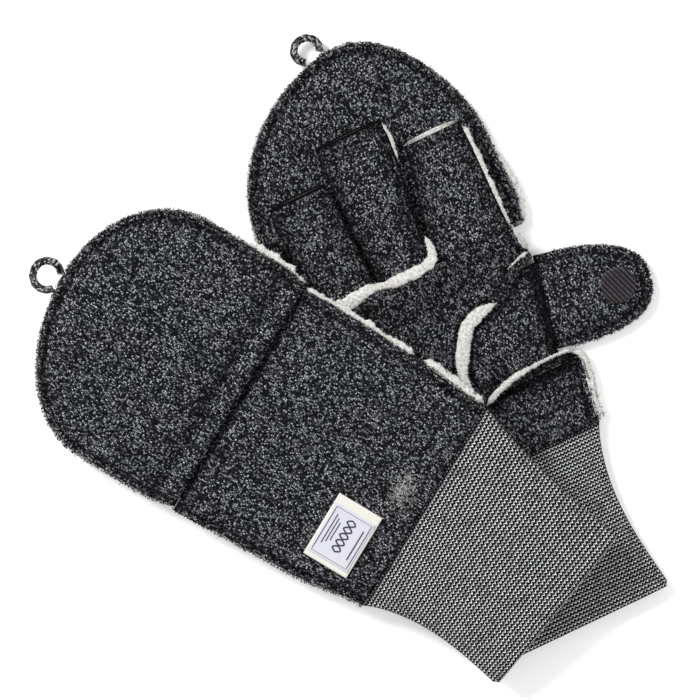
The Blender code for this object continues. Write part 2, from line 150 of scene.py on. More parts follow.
def smooth(x):
    """0 to 1 with level ends."""
    x = np.clip(x, 0.0, 1.0)
    return x * x * (3.0 - 2.0 * x)


def bow(x, power=2.0):
    """Superellipse fall from 1 at x = 0 to 0 at x = 1."""
    return (1.0 - np.clip(x, 0.0, 1.0) ** power) ** (1.0 / power)


def bump(x, at, width):
    """A soft hump, 1 at its middle."""
    return np.exp(-((x - at) / width) ** 2)


def polyline(points):
    """A function of v through a few (v, value) points, eased between them."""
    falls = -np.array([p[0] for p in points])
    values = np.array([p[1] for p in points])

    def at(v):
        fall = np.clip(-np.asarray(v, float), falls[0], falls[-1])
        k = np.clip(np.searchsorted(falls, fall, side="right") - 1, 0, len(falls) - 2)
        share = smooth((fall - falls[k]) / (falls[k + 1] - falls[k]))
        return values[k] + (values[k + 1] - values[k]) * share
    return at


def field(u, v, lump, seed):
    """A smooth random field from -1 to 1, with lumps about lump mm wide."""
    grid = np.random.RandomState(seed).uniform(-1.0, 1.0, (64, 64))
    x = np.asarray(u) / lump + 31.7
    y = np.asarray(v) / lump + 17.3
    i, j = np.floor(x).astype(int), np.floor(y).astype(int)
    fx, fy = smooth(x - i), smooth(y - j)
    low = grid[i % 64, j % 64] * (1 - fx) + grid[(i + 1) % 64, j % 64] * fx
    high = grid[i % 64, (j + 1) % 64] * (1 - fx) + grid[(i + 1) % 64, (j + 1) % 64] * fx
    return low * (1 - fy) + high * fy


def crest(d, lip=0.36, groove=0.24, soft=5.5):
    """Height of a sewn panel at d mm from its edge, 0 to 1: seam lip, stitched groove, pillow."""
    edge = 0.04 + lip * np.sqrt(np.clip(d / 1.2, 0.0, 1.0))
    pillow = (0.96 - lip) * (1.0 - np.exp(-np.maximum(d - 2.8, 0.0) / soft))
    return edge + pillow - groove * bump(d, 3.4, 1.1)


def seam_shade(d):
    """How much light the cloth gets beside a seam d mm away: dark in the stitched groove."""
    return 1.0 - 0.75 * bump(d, 3.5, 1.3)


def across_stations(count):
    """-1 to 1, closer together near the ends."""
    t = np.linspace(-1.0, 1.0, count)
    return 0.6 * t + 0.4 * np.sin(t * math.pi / 2.0)


def wool(u, v, seed, rough=1.0):
    """Outward relief of worn knit: slow waves, small dents and fibre-scale roughness."""
    grain = np.random.RandomState(seed + 7).uniform(-1.0, 1.0, np.shape(u))
    step = np.hypot(np.gradient(u + 0.0 * v, axis=0), np.gradient(v + 0.0 * u, axis=0))
    grain = grain * smooth(step / 0.7)
    slow = 0.50 * field(u, v, 34.0, seed) + 0.40 * field(u, v, 15.0, seed + 1)
    slow = slow + 0.45 * field(0.55 * u + 0.5 * v, 0.9 * v - 0.4 * u, 9.0, seed + 3)
    return slow + rough * (0.16 * field(u, v, 3.1, seed + 2) + 0.10 * grain)


# ---------------------------------------------------------------- materials

class Graph:
    """A material's node tree, with a short way to write sums of nodes."""

    def __init__(self, name, roughness, sheen=0.0, specular=0.3):
        self.material = bpy.data.materials.new(name)
        self.material.use_nodes = True
        self.tree = self.material.node_tree
        self.shader = self.tree.nodes["Principled BSDF"]
        self.shader.inputs["Roughness"].default_value = roughness
        self.shader.inputs["Specular IOR Level"].default_value = specular
        self.shader.inputs["Sheen Weight"].default_value = sheen
        self.shader.inputs["Sheen Roughness"].default_value = 0.6

    def node(self, kind, **settings):
        made = self.tree.nodes.new(kind)
        for key, value in settings.items():
            setattr(made, key, value)
        return made

    def put(self, socket, value):
        if isinstance(value, bpy.types.NodeSocket):
            self.tree.links.new(value, socket)
        else:
            socket.default_value = value

    def math(self, operation, a, b=0.0, c=0.0):
        made = self.node("ShaderNodeMath", operation=operation)
        for socket, value in zip(made.inputs, (a, b, c)):
            self.put(socket, value)
        return made.outputs[0]

    def ramp(self, value, low, high, to_low=0.0, to_high=1.0):
        made = self.node("ShaderNodeMapRange", interpolation_type="SMOOTHSTEP")
        for socket, given in zip(made.inputs, (value, low, high, to_low, to_high)):
            self.put(socket, given)
        return made.outputs[0]

    def mix(self, share, a, b):
        made = self.node("ShaderNodeMix", data_type="RGBA")
        self.put(made.inputs[0], share)
        for socket, value in ((made.inputs[6], a), (made.inputs[7], b)):
            self.put(socket, value if isinstance(value, bpy.types.NodeSocket) else (*value, 1.0))
        return made.outputs[2]

    def cloth_mm(self):
        """x and y on the cloth at rest, in mm."""
        flat = self.node("ShaderNodeUVMap", uv_map="rest")
        scaled = self.node("ShaderNodeVectorMath", operation="SCALE")
        self.put(scaled.inputs[0], flat.outputs[0])
        scaled.inputs["Scale"].default_value = UV_MM
        return scaled.outputs[0]

    def shade(self):
        """Painted shade, from the shade layer: 1 on open cloth, less in seam grooves and folds."""
        return self.split(self.node("ShaderNodeUVMap", uv_map="shade").outputs[0])[0]

    def darken(self, colour, black):
        """A colour that falls to black where the cloth gets less light."""
        return self.mix(self.math("SUBTRACT", 1.0, self.shade()), colour, black)

    def split(self, vector):
        made = self.node("ShaderNodeSeparateXYZ")
        self.put(made.inputs[0], vector)
        return made.outputs[0], made.outputs[1]

    def join(self, x, y):
        made = self.node("ShaderNodeCombineXYZ")
        self.put(made.inputs[0], x)
        self.put(made.inputs[1], y)
        return made.outputs[0]

    def noise(self, vector, scale, detail=2.0, rough=0.5):
        made = self.node("ShaderNodeTexNoise", noise_dimensions="2D")
        self.put(made.inputs["Vector"], vector)
        made.inputs["Scale"].default_value = scale
        made.inputs["Detail"].default_value = detail
        made.inputs["Roughness"].default_value = rough
        return made.outputs["Fac"]

    def random(self, x, y):
        made = self.node("ShaderNodeTexWhiteNoise", noise_dimensions="2D")
        self.put(made.inputs["Vector"], self.join(x, y))
        return made.outputs["Value"]

    def wobble(self, vector, scale, amount):
        """The cloth's x and y, shifted by a random field so that no row runs quite straight."""
        made = self.node("ShaderNodeTexNoise", noise_dimensions="2D")
        self.put(made.inputs["Vector"], vector)
        made.inputs["Scale"].default_value = scale
        centred = self.node("ShaderNodeVectorMath", operation="SUBTRACT")
        self.put(centred.inputs[0], made.outputs["Color"])
        centred.inputs[1].default_value = (0.5, 0.5, 0.5)
        scaled = self.node("ShaderNodeVectorMath", operation="SCALE")
        self.put(scaled.inputs[0], centred.outputs[0])
        scaled.inputs["Scale"].default_value = amount
        moved = self.node("ShaderNodeVectorMath", operation="ADD")
        self.put(moved.inputs[0], vector)
        self.put(moved.inputs[1], scaled.outputs[0])
        return moved.outputs[0]

    def stitches(self, x, y, wale, course, slant):
        """Knit stitches: (wale number, course number, height within the stitch)."""
        a = self.math("DIVIDE", x, wale)
        place = self.math("FRACT", a)
        leg = self.math("ABSOLUTE", self.math("SUBTRACT", place, 0.5))
        b = self.math("MULTIPLY_ADD", leg, slant, self.math("DIVIDE", y, course))
        rise = self.math("SINE", self.math("MULTIPLY", self.math("FRACT", b), math.pi))
        bulge = self.math("SINE", self.math("MULTIPLY", place, math.pi))
        height = self.math("MULTIPLY", rise, self.math("POWER", bulge, 0.5))
        return self.math("FLOOR", a), self.math("FLOOR", b), height

    def finish(self, colour, height, depth, strength=0.7):
        self.put(self.shader.inputs["Base Color"], colour)
        relief = self.node("ShaderNodeBump")
        relief.inputs["Strength"].default_value = strength
        relief.inputs["Distance"].default_value = depth
        self.put(relief.inputs["Height"], height)
        self.put(self.shader.inputs["Normal"], relief.outputs["Normal"])
        return self.material


def make_heather(name, dark, light):
    """Sweater knit in near-black wool with short white and grey flecks."""
    g = Graph(name, 1.0, specular=0.06)
    cloth = g.cloth_mm()
    x, y = g.split(g.wobble(cloth, 0.45, 1.1))
    wale, course, height = g.stitches(x, y, 0.64, 0.88, 0.85)
    pick = g.random(wale, course)
    crowd = g.noise(cloth, 0.16, 3.0, 0.6)
    fleck = g.math("POWER", pick, g.ramp(crowd, 0.3, 0.7, 5.6, 3.2))
    fibre = g.noise(cloth, 2.6, 2.0, 0.7)
    strand = g.math("MULTIPLY", fleck, g.ramp(fibre, 0.28, 0.58, 0.45, 1.0))
    strand = g.math("MULTIPLY", strand, g.math("POWER", height, 1.5))
    tint = g.noise(cloth, 0.045, 2.0, 0.5)
    cool = tuple(c * s for c, s in zip(dark, (0.95, 1.0, 1.1)))
    warm = tuple(c * s for c, s in zip(dark, (1.1, 1.02, 0.95)))
    base = g.mix(g.ramp(tint, 0.35, 0.65), cool, warm)
    # Painted shade: darker in the hollows between the raised stitches.
    base = g.mix(g.ramp(height, 0.1, 0.8, 0.7, 0.0), base, (0.003, 0.003, 0.004))
    colour = g.mix(strand, base, light)
    colour = g.darken(colour, (0.002, 0.002, 0.003))
    lumps = g.math("MULTIPLY_ADD", fibre, 0.5, height)
    return g.finish(colour, lumps, 0.0004, 0.75)


def make_fleece():
    """Brushed off-white pile."""
    g = Graph("white_fleece", 1.0, specular=0.06)
    cloth = g.cloth_mm()
    curl = g.noise(g.wobble(cloth, 0.8, 1.5), 0.9, 4.0, 0.65)
    clump = g.noise(cloth, 0.2, 2.0, 0.5)
    colour = g.mix(g.ramp(curl, 0.3, 0.62), (0.40, 0.385, 0.355), (0.76, 0.755, 0.74))
    colour = g.mix(g.ramp(clump, 0.4, 0.7, 0.0, 0.35), colour, (0.62, 0.59, 0.54))
    colour = g.darken(colour, (0.004, 0.004, 0.004))
    return g.finish(colour, curl, 0.0009, 0.8)


def make_cuff_knit():
    """Knit whose white and black courses zigzag from wale to wale."""
    g = Graph("cuff_knit", 1.0, specular=0.06)
    cloth = g.cloth_mm()
    x, y = g.split(g.wobble(cloth, 0.22, 0.7))
    place = g.math("FRACT", g.math("DIVIDE", x, CUFF_STITCH))
    leg = g.math("ABSOLUTE", g.math("SUBTRACT", place, 0.5))
    row = g.math("MULTIPLY_ADD", leg, 1.25, g.math("DIVIDE", y, CUFF_STITCH))
    wave = g.math("SINE", g.math("MULTIPLY", g.math("FRACT", row), 2.0 * math.pi))
    fibre = g.noise(cloth, 2.6, 2.0, 0.6)
    edge = g.math("MULTIPLY_ADD", fibre, 0.4, g.math("SUBTRACT", wave, 0.68))
    white = g.math("MULTIPLY", g.ramp(edge, 0.0, 0.3), g.ramp(leg, 0.30, 0.48, 1.0, 0.0))
    tone = g.random(g.math("FLOOR", g.math("DIVIDE", x, CUFF_STITCH)), g.math("FLOOR", row))
    white = g.math("MULTIPLY", white, g.ramp(tone, 0.0, 0.5, 0.6, 1.0))
    bulge = g.math("SINE", g.math("MULTIPLY", g.math("FRACT", g.math("MULTIPLY", place, 2.0)), math.pi))
    height = g.math("MULTIPLY_ADD", g.math("ABSOLUTE", wave), 0.7, g.math("MULTIPLY", bulge, 0.4))
    dark = g.mix(fibre, (0.003, 0.003, 0.004), (0.014, 0.015, 0.018))
    colour = g.mix(white, dark, (0.93, 0.94, 0.95))
    colour = g.darken(colour, (0.004, 0.004, 0.006))
    return g.finish(colour, g.math("MULTIPLY_ADD", fibre, 0.3, height), 0.0005, 0.9)


def make_marl():
    """Knit cord in fine black, grey and white strands."""
    g = Graph("marled_cord", 1.0, specular=0.06)
    cloth = g.cloth_mm()
    x, y = g.split(cloth)
    wind = g.math("MULTIPLY_ADD", y, 0.5, x)
    wale, course, height = g.stitches(wind, y, 0.72, 0.95, 1.2)
    pick = g.random(wale, course)
    colour = g.mix(g.ramp(pick, 0.35, 0.6), (0.007, 0.007, 0.009), (0.10, 0.10, 0.11))
    colour = g.mix(g.math("MULTIPLY", g.ramp(pick, 0.72, 0.86), height), colour, (0.75, 0.75, 0.74))
    return g.finish(colour, height, 0.0004, 0.8)


def make_pad():
    """Dark moulded pad, lighter in soft patches as a painted highlight, with painted shade in the
    grooves between its ribs.
    """
    g = Graph("pad_rubber", 0.55, specular=0.4)
    cloth = g.cloth_mm()
    highlight_patches = g.noise(cloth, 0.8, 3.0, 0.6)
    colour = g.mix(g.ramp(highlight_patches, 0.3, 0.8), (0.026, 0.020, 0.026), (0.080, 0.066, 0.078))
    # Painted shade in the rib grooves, from the shade layer.
    colour = g.mix(g.ramp(g.shade(), 0.25, 0.75), (0.002, 0.001, 0.002), colour)
    return g.finish(colour, g.noise(cloth, 6.0), 0.0001, 0.4)


def make_woven(name, colour_a, colour_b):
    """Fine satin weave of a sewn-on label."""
    g = Graph(name, 0.7, sheen=0.1)
    x, y = g.split(g.cloth_mm())
    warp = g.math("SINE", g.math("MULTIPLY", x, 16.0))
    weft = g.math("SINE", g.math("MULTIPLY", y, 20.0))
    thread = g.math("MULTIPLY_ADD", g.math("MULTIPLY", warp, weft), 0.5, 0.5)
    return g.finish(g.mix(thread, colour_a, colour_b), thread, 0.0001, 0.5)


def make_hair(name, colour_a, colour_b):
    """Loose fibres, some lighter than others."""
    g = Graph(name, 1.0, specular=0.06)
    x = g.split(g.cloth_mm())[0]
    pick = g.random(g.math("FLOOR", x), 0.0)
    g.put(g.shader.inputs["Base Color"], g.mix(g.ramp(pick, 0.6, 1.0), colour_a, colour_b))
    return g.material


HEATHER = make_heather("heather_knit", (0.0066, 0.0072, 0.0090), (0.85, 0.885, 0.94))
FLEECE = make_fleece()
CUFF_KNIT = make_cuff_knit()
MARL = make_marl()
PAD = make_pad()
LABEL_EDGE = make_woven("label_cream", (0.62, 0.60, 0.54), (0.78, 0.76, 0.70))
LABEL_FACE = make_woven("label_lavender", (0.52, 0.52, 0.60), (0.66, 0.66, 0.72))
LABEL_INK = make_woven("label_navy", (0.02, 0.02, 0.05), (0.05, 0.05, 0.09))
DARK_HAIR = make_hair("dark_fibres", (0.005, 0.005, 0.006), (0.20, 0.20, 0.20))
WHITE_HAIR = make_hair("white_fibres", (0.62, 0.61, 0.58), (0.82, 0.81, 0.79))

PALETTE = [HEATHER, FLEECE, CUFF_KNIT, MARL, PAD, LABEL_EDGE, LABEL_FACE, LABEL_INK, DARK_HAIR,
           WHITE_HAIR]
KNIT, PILE, CUFF, CORD, RIB, CREAM, LAVENDER, INK, DARK, WHITE = range(len(PALETTE))


# ---------------------------------------------------------------- parts of a mesh
# A part is (points, faces, cloth, kinds): points in (u, v, h), cloth the place of each point on
# the flat cloth in mm, and kinds the palette number of each face.

def shaded(cloth, shade):
    """The place of each point on the cloth, with how much light it gets as a third number."""
    if shade is None:
        return cloth
    return np.concatenate([cloth, np.tile(shade.reshape(-1, 1), (len(cloth) // shade.size, 1))], 1)


def sheet_part(outer, inner, outside=KNIT, inside=PILE, edge=KNIT, shade=None):
    """A closed sheet between two grids of points."""
    rows, columns = outer.shape[:2]
    grid = np.arange(rows * columns).reshape(rows, columns)
    off = rows * columns
    corners = (grid[:-1, :-1], grid[:-1, 1:], grid[1:, 1:], grid[1:, :-1])
    front = np.stack(corners, -1).reshape(-1, 4)
    rim = np.concatenate([grid[0], grid[1:, -1], grid[-1, -2::-1], grid[-2:0:-1, 0]])
    after = np.roll(rim, -1)
    sides = np.stack([after, rim, rim + off, after + off], -1)
    faces = [front, front[:, ::-1] + off, sides]
    kinds = np.repeat([outside, inside, edge], [len(f) for f in faces])
    points = np.concatenate([outer.reshape(-1, 3), inner.reshape(-1, 3)])
    return points, faces, shaded(points[:, :2], shade), kinds


def ring_walls(rows, count):
    """Point numbers of a grid of rings, the same shifted by one place, and the faces between."""
    grid = np.arange(rows * count).reshape(rows, count)
    turned = np.roll(grid, -1, 1)
    return grid, turned, np.stack([grid[:-1], turned[:-1], turned[1:], grid[1:]], -1).reshape(-1, 4)


def tube_part(outer, inner, closed=False, outside=KNIT, inside=PILE, edge=KNIT, shade=None):
    """A cloth tube between two sets of rings, open at both ends or closed at the last ring."""
    rows, count = outer.shape[:2]
    grid, turned, front = ring_walls(rows, count)
    off = rows * count
    first, after = grid[0], turned[0]
    base = np.stack([after, first, first + off, after + off], -1)
    last, after = grid[-1], turned[-1]
    i = np.arange(count // 2 - 1)
    if closed:
        lid = np.stack([last[i], last[i + 1], last[count - 2 - i], last[count - 1 - i]], -1)
        ends = [lid, lid[:, ::-1] + off]
        end_kinds = [outside, inside]
    else:
        ends = [np.stack([last, after, after + off, last + off], -1)]
        end_kinds = [edge]
    faces = [front, front[:, ::-1] + off, base, *ends]
    kinds = np.repeat([outside, inside, edge, *end_kinds], [len(f) for f in faces])
    points = np.concatenate([outer.reshape(-1, 3), inner.reshape(-1, 3)])
    return points, faces, shaded(points[:, :2], shade), kinds


def both_faces(rows):
    """Values across a panel, then the same in reverse for the ring's way back underneath."""
    return np.concatenate([rows, rows[:, ::-1]], 1)


def rope_part(rings, cloth, kind):
    """A solid bar of rings, closed at both ends."""
    grid, _, front = ring_walls(*rings.shape[:2])
    faces = [front, grid[:1, ::-1], grid[-1:]]
    flat = cloth.reshape(-1, cloth.shape[-1])
    return rings.reshape(-1, 3), faces, flat, np.full(len(front) + 2, kind)


def hair_part(roots, ways, lengths, kind, seed, thick=0.075, curl=0.45):
    """Tapered bent fibres, each a closed spike of three sides."""
    dice = np.random.RandomState(seed)
    count = len(roots)
    ways = ways / np.linalg.norm(ways, axis=1, keepdims=True)
    bend = dice.normal(size=(count, 3)) * curl
    spans = lengths[:, None]
    middle = roots + ways * spans * 0.5 + bend * spans * 0.18
    tips = roots + ways * spans * 0.85 + bend * spans * 0.62
    side = np.cross(ways, dice.normal(size=(count, 3)))
    side /= np.linalg.norm(side, axis=1, keepdims=True)
    other = np.cross(ways, side)
    points = []
    for spot, radius in ((roots, thick), (middle, thick * 0.8)):
        for turn in THIRDS:
            points.append(spot + (side * math.cos(turn) + other * math.sin(turn)) * radius)
    points.append(tips)
    points = np.stack(points, 1).reshape(-1, 3)
    spike = [(2, 1, 0), (3, 4, 6), (4, 5, 6), (5, 3, 6)]
    spike += [(0, 1, 4), (0, 4, 3), (1, 2, 5), (1, 5, 4), (2, 0, 3), (2, 3, 5)]
    faces = (np.arange(count)[:, None, None] * 7 + np.array(spike)).reshape(-1, 3)
    cloth = np.repeat(dice.uniform(0.0, 400.0, (count, 2)), 7, axis=0)
    return points, [faces], cloth, np.full(len(faces), kind)


def bar_fibres(dice, rings, path, amount, spread, longest, kind, seed, thick, curl=0.45):
    """Fibres at random spots of a bar of rings, pointing away from its middle line."""
    pick = dice.randint(0, rings.shape[0], amount), dice.randint(0, rings.shape[1], amount)
    roots = rings[pick]
    ways = roots - path[pick[0]] + dice.normal(size=(amount, 3)) * spread
    return hair_part(roots, ways, dice.uniform(*longest, amount), kind, seed, thick, curl)


def edge_distance(points, outline):
    """Distance in mm from each (u, v) to a chain of outline points."""
    flat = points.reshape(-1, 2)
    near = np.full(len(flat), 1e9)
    for a, b in zip(outline[:-1], outline[1:]):
        run = b - a
        share = np.clip((flat - a) @ run / max(run @ run, 1e-9), 0.0, 1.0)
        near = np.minimum(near, np.linalg.norm(flat - a - share[:, None] * run, axis=1))
    return near.reshape(points.shape[:2])


def way_along(points):
    """Distance in mm from the first of a row of points to each of them."""
    return np.concatenate([[0.0], np.cumsum(np.linalg.norm(np.diff(points, axis=0), axis=1))])


def walk(points, step=STRIP_STEP):
    """Evenly spaced points along a smooth curve through a few points."""
    points = np.array(points, float)
    fine = []
    padded = np.concatenate([[2 * points[0] - points[1]], points, [2 * points[-1] - points[-2]]])
    for p0, p1, p2, p3 in zip(padded, padded[1:], padded[2:], padded[3:]):
        for t in np.linspace(0.0, 1.0, 12, endpoint=False):
            cubic = (3 * p1 - p0 - 3 * p2 + p3) * t ** 3
            fine.append(p1 + ((p2 - p0) * t + (2 * p0 - 5 * p1 + 4 * p2 - p3) * t * t + cubic) / 2)
    fine = np.array(fine + [points[-1]])
    way = way_along(fine)
    even = np.linspace(0.0, way[-1], max(int(way[-1] / step), 4))
    return np.stack([np.interp(even, way, fine[:, i]) for i in range(points.shape[1])], 1)


def column_line(u, v, h):
    """(u, v, h) rows from three numbers or lists of numbers."""
    return np.stack(np.broadcast_arrays(u, v, h), 1)


def sideways(path):
    """Unit (u, v, 0) vectors to the right of a path."""
    run = np.gradient(path[:, :2], axis=0)
    run /= np.linalg.norm(run, axis=1, keepdims=True)
    return np.stack([run[:, 1], -run[:, 0], np.zeros(len(path))], 1)


class Mitten:
    """Turns parts in (u, v, h) into pieces where the CAD frame has this mitten."""

    def __init__(self, side, lies, flip, shape):
        turn, tilt = lies
        self.side, self.shape, self.flip = side, shape, flip
        self.turn = np.array(Euler((0.0, -math.radians(tilt), math.radians(turn))).to_matrix())
        self.origin = np.zeros(3)
        pin = next(j["pos_m"] for j in frame["joints"] if j["name"] == side + "_cap_flip")
        self.origin = np.array(pin) - self.world([(0.0, 0.0, -0.3)])[0]
        self.left, self.right = polyline(shape["left"]), polyline(shape["right"])
        self.back_up = 1.0 if flip else 0.0
        self.back_rough = 1.0 if flip else 0.2    # the right back lies flat on the ground

    def world(self, points):
        """Points in (u, v, h) laid where the CAD frame has the mitten, in metres."""
        spots = np.array(points, float) * (1.0, 1.0, -1.0 if self.flip else 1.0)
        return spots @ self.turn.T * MM + self.origin

    def make(self, name, *parts):
        """One object from its parts, each with its faces turned outwards."""
        points, faces, cloth, kinds, off = [], [], [], [], 0
        for spots, groups, flat, kind in parts:
            spots = self.world(spots)
            middle = spots.mean(0)
            volume = 0.0
            for group in groups:
                a = spots[group[:, 0]] - middle
                for i in range(1, group.shape[1] - 1):
                    b, c = spots[group[:, i]] - middle, spots[group[:, i + 1]] - middle
                    volume += np.einsum("ij,ij->i", a, np.cross(b, c)).sum()
            for group in groups:
                outward = group if volume > 0 else group[:, ::-1]
                faces += (outward + off).tolist()
            points.append(spots)
            if flat.shape[1] == 2:
                flat = np.concatenate([flat, np.ones((len(flat), 1))], 1)
            cloth.append(flat)
            kinds.append(kind)
            off += len(spots)
        mesh = bpy.data.meshes.new(f"{self.side}_{name}")
        mesh.from_pydata(np.concatenate(points).tolist(), [], faces)
        kinds = np.concatenate(kinds)
        used = np.unique(kinds)
        for kind in used:
            mesh.materials.append(PALETTE[kind])
        mesh.polygons.foreach_set("material_index", np.searchsorted(used, kinds).astype(np.int32))
        loops = np.empty(len(mesh.loops), np.int32)
        mesh.loops.foreach_get("vertex_index", loops)
        cloth = np.concatenate(cloth)[loops]
        light = np.repeat(np.clip(cloth[:, 2:], 0.0, 1.0), 2, 1)
        for layer, values in (("rest", cloth[:, :2] / UV_MM), ("shade", light)):
            mesh.uv_layers.new(name=layer).data.foreach_set("uv", values.ravel())
        mesh.shade_smooth()
        piece = bpy.data.objects.new(mesh.name, mesh)
        bpy.context.collection.objects.link(piece)
        return piece

    def settle(self, piece, body, slot, *nodes):
        """Rides on a body of this mitten and stands for its nodes."""
        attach(piece, f"{self.side}_{body}")
        self.stand(piece, slot, *nodes)

    def hinge(self, piece, body_a, body_b, start, end, slot, *nodes):
        """Bakes the piece's place into its mesh and stands for its nodes. body_a and body_b are not
        used; start and end, in (u, v, h), are turned into world points that nothing uses.
        """
        start, end = self.world([start, end])
        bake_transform(piece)
        self.stand(piece, slot, *nodes)

    def stand(self, piece, slot, *nodes):
        """Hides the CAD nodes that the piece replaces; slot is not used."""
        if nodes:
            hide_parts(*(f"{self.side}_{node}" for node in nodes))


# ---------------------------------------------------------------- the hand

def rise(v):
    """How far the palm rises towards the finger stalls."""
    return (ROOT_TOP - HAND_TOP) * smooth((v + RAMP) / RAMP)


def knuckle_low(v):
    """Height of the knuckle panel's face, from the back's inside up to under the stalls."""
    return STALL_LOW - (STALL_LOW - 2.6) * smooth(-v / 16.0)


def thumb_open(v, shape):
    """1 where the thumb opens from the hand's side, 0 elsewhere."""
    lo, hi = shape["thumb_v"]
    return smooth((hi + 5.0 - v) / 5.0) * smooth((v - lo + 5.0) / 5.0)


def thumb_seam(m):
    """Even (u, v) points down the seam round the thumb's base, from the index side to the heel."""
    path = walk(m.shape["thumb_seam"], 0.9)
    path[:, 1] = np.minimum.accumulate(path[:, 1] - 0.004 * np.arange(len(path)))
    return path


def lay(v, left, right, columns):
    """Grid of (u, v), the stations across it, and the distance to its sides."""
    s = across_stations(columns)[None, :]
    half = (right - left)[:, None] / 2.0
    u = (left + right)[:, None] / 2.0 + half * s
    return u, np.repeat(v[:, None], columns, 1), s + 0.0 * u, (1.0 - np.abs(s)) * half


def sheet_grids(u, v, rim, face, d, up, relief, wall=WALL, **seam):
    """Outer and inner grids of a panel whose edge is at rim and whose face is at face."""
    depth = np.maximum(up * (face - rim), 0.2) * crest(d, **seam)
    low = np.maximum(depth - wall, 0.0) * smooth((d - 2.5) / 4.0) + 0.03
    high = np.maximum(depth + 0.1 + relief * smooth(d / 2.0), low + 0.3)
    return np.stack([u, v, rim + up * high], -1), np.stack([u, v, rim + up * low], -1)


def under_label(u, v):
    """1 where the label lies, 0 away from it."""
    lo_u, hi_u, lo_v, hi_v = LABEL
    inside = smooth((u - lo_u + 3.0) / 3.0) * smooth((hi_u + 3.0 - u) / 3.0)
    return inside * smooth((v - lo_v + 3.0) / 3.0) * smooth((hi_v + 3.0 - v) / 3.0)


def back_face(m, u, v):
    """Height of the hand's back, a low pillow that dips at the knuckle seam."""
    left, right = m.left(v), m.right(v)
    s = np.clip((2.0 * u - left - right) / (right - left), -1.0, 1.0)
    dip = 2.6 * bump(v, -0.9, 2.6) + 0.7 * bump(v, HAND_END, 2.6)
    return m.shape["swell"] * (dip - (1.0 - s * s)) if m.flip else 0.0 * s + 0.2 * dip


def gathers(u, v):
    """Small puckers where the hand is sewn to the narrower cuff."""
    return 0.35 * np.cos(u * 2.0 * math.pi / 8.5 + 2.0 * field(u, 0 * u, 20.0, 5)) * bump(v, -95, 6.0)


def cuff_shade(v):
    """Painted shade in the groove where the hand is sewn to the cuff."""
    return 1.0 - 0.6 * bump(v, -98.5, 1.6)


def make_back(m, seed):
    """The cloth over the back of the hand."""
    v = np.concatenate([np.linspace(-0.5, -8.0, 14), np.linspace(-8.8, HAND_END, 105)])
    u, v, s, d = lay(v, m.left(v), m.right(v), 130)
    row = v[:, :1]
    low = smooth((row + RAMP) / 6.0)
    high = HAND_TOP / 2.0 - 0.15
    rim_l = high * (1.0 - low) + WALL * low
    low = np.maximum(low, thumb_open(row, m.shape))
    rim_r = high * (1.0 - low) + WALL * low
    rim = rim_l + (rim_r - rim_l) * (s + 1.0) / 2.0
    relief = wool(u, v, seed) * m.back_rough + gathers(u, v)
    relief = relief * (1.0 - under_label(u, v) * m.back_up)
    # Painted shade: dark in the seam grooves, in the groove at the knuckle seam and where the hand
    # meets the cuff.
    shade = seam_shade(d) * (1.0 - 0.8 * bump(v, -1.6, 2.2)) * cuff_shade(v)
    outer, inner = sheet_grids(u, v, rim, back_face(m, u, v), d, -1, relief)
    piece = m.make("back_cloth", sheet_part(outer, inner, shade=shade))
    m.settle(piece, "hand", "heather_knit", "back_shell")


def make_palm(m, seed):
    """The palm, cut away along the thumb seam, with painted shade below the thumb."""
    seam = thumb_seam(m)
    first, last = seam[0, 1], seam[-1, 1]
    above, below = np.linspace(-0.5, first, 24)[:-1], np.linspace(last, HAND_END, 42)[1:]
    v = np.concatenate([above, seam[:, 1], below])
    right = np.concatenate([m.right(above), seam[:, 0], m.right(below)])
    u, v, s, d = lay(v, m.left(v), right, 120)
    row = v[:, :1]
    spots = np.stack([u, v], -1)
    d = np.where(s > 0.0, np.minimum(edge_distance(spots, seam), (u - u[:, :1])), d)
    side = (1.0 - s) * (right - m.left(v[:, 0]))[:, None] / 2.0
    d = np.minimum(d, side + 0.0 * d)
    bayed = ((row < first) & (row > last)) * 1.0
    top = HAND_TOP + rise(row)
    under = smooth((row + RAMP) / 6.0)
    edge = (HAND_TOP / 2.0 + 0.15) * (1.0 - under) + ((knuckle_low(row) + top) / 2.0 + 0.15) * under
    open_r = np.maximum(thumb_open(row, m.shape), bayed)
    rim_r = edge * (1.0 - open_r) + (top - WALL) * open_r
    rim = edge + (rim_r - edge) * (s + 1.0) / 2.0
    relief = 0.8 * wool(u, v, seed) + gathers(u, v)
    # Painted shade: dark in the seam grooves, by the cuff seam and on the heel below the thumb, with
    # the whole palm painted a little darker.
    heel = smooth((u - seam[:, 0].min()) / 8.0) * smooth((row + 79.0) / 11.0) * (row <= last)
    shade = seam_shade(d) * cuff_shade(v) * (1.0 - 0.75 * heel) * 0.9
    outer, inner = sheet_grids(u, v, rim, top + 0.0 * u, d, 1, relief)
    piece = m.make("palm_cloth", sheet_part(outer, inner, shade=shade))
    m.settle(piece, "hand", "heather_knit", "palm_shell")


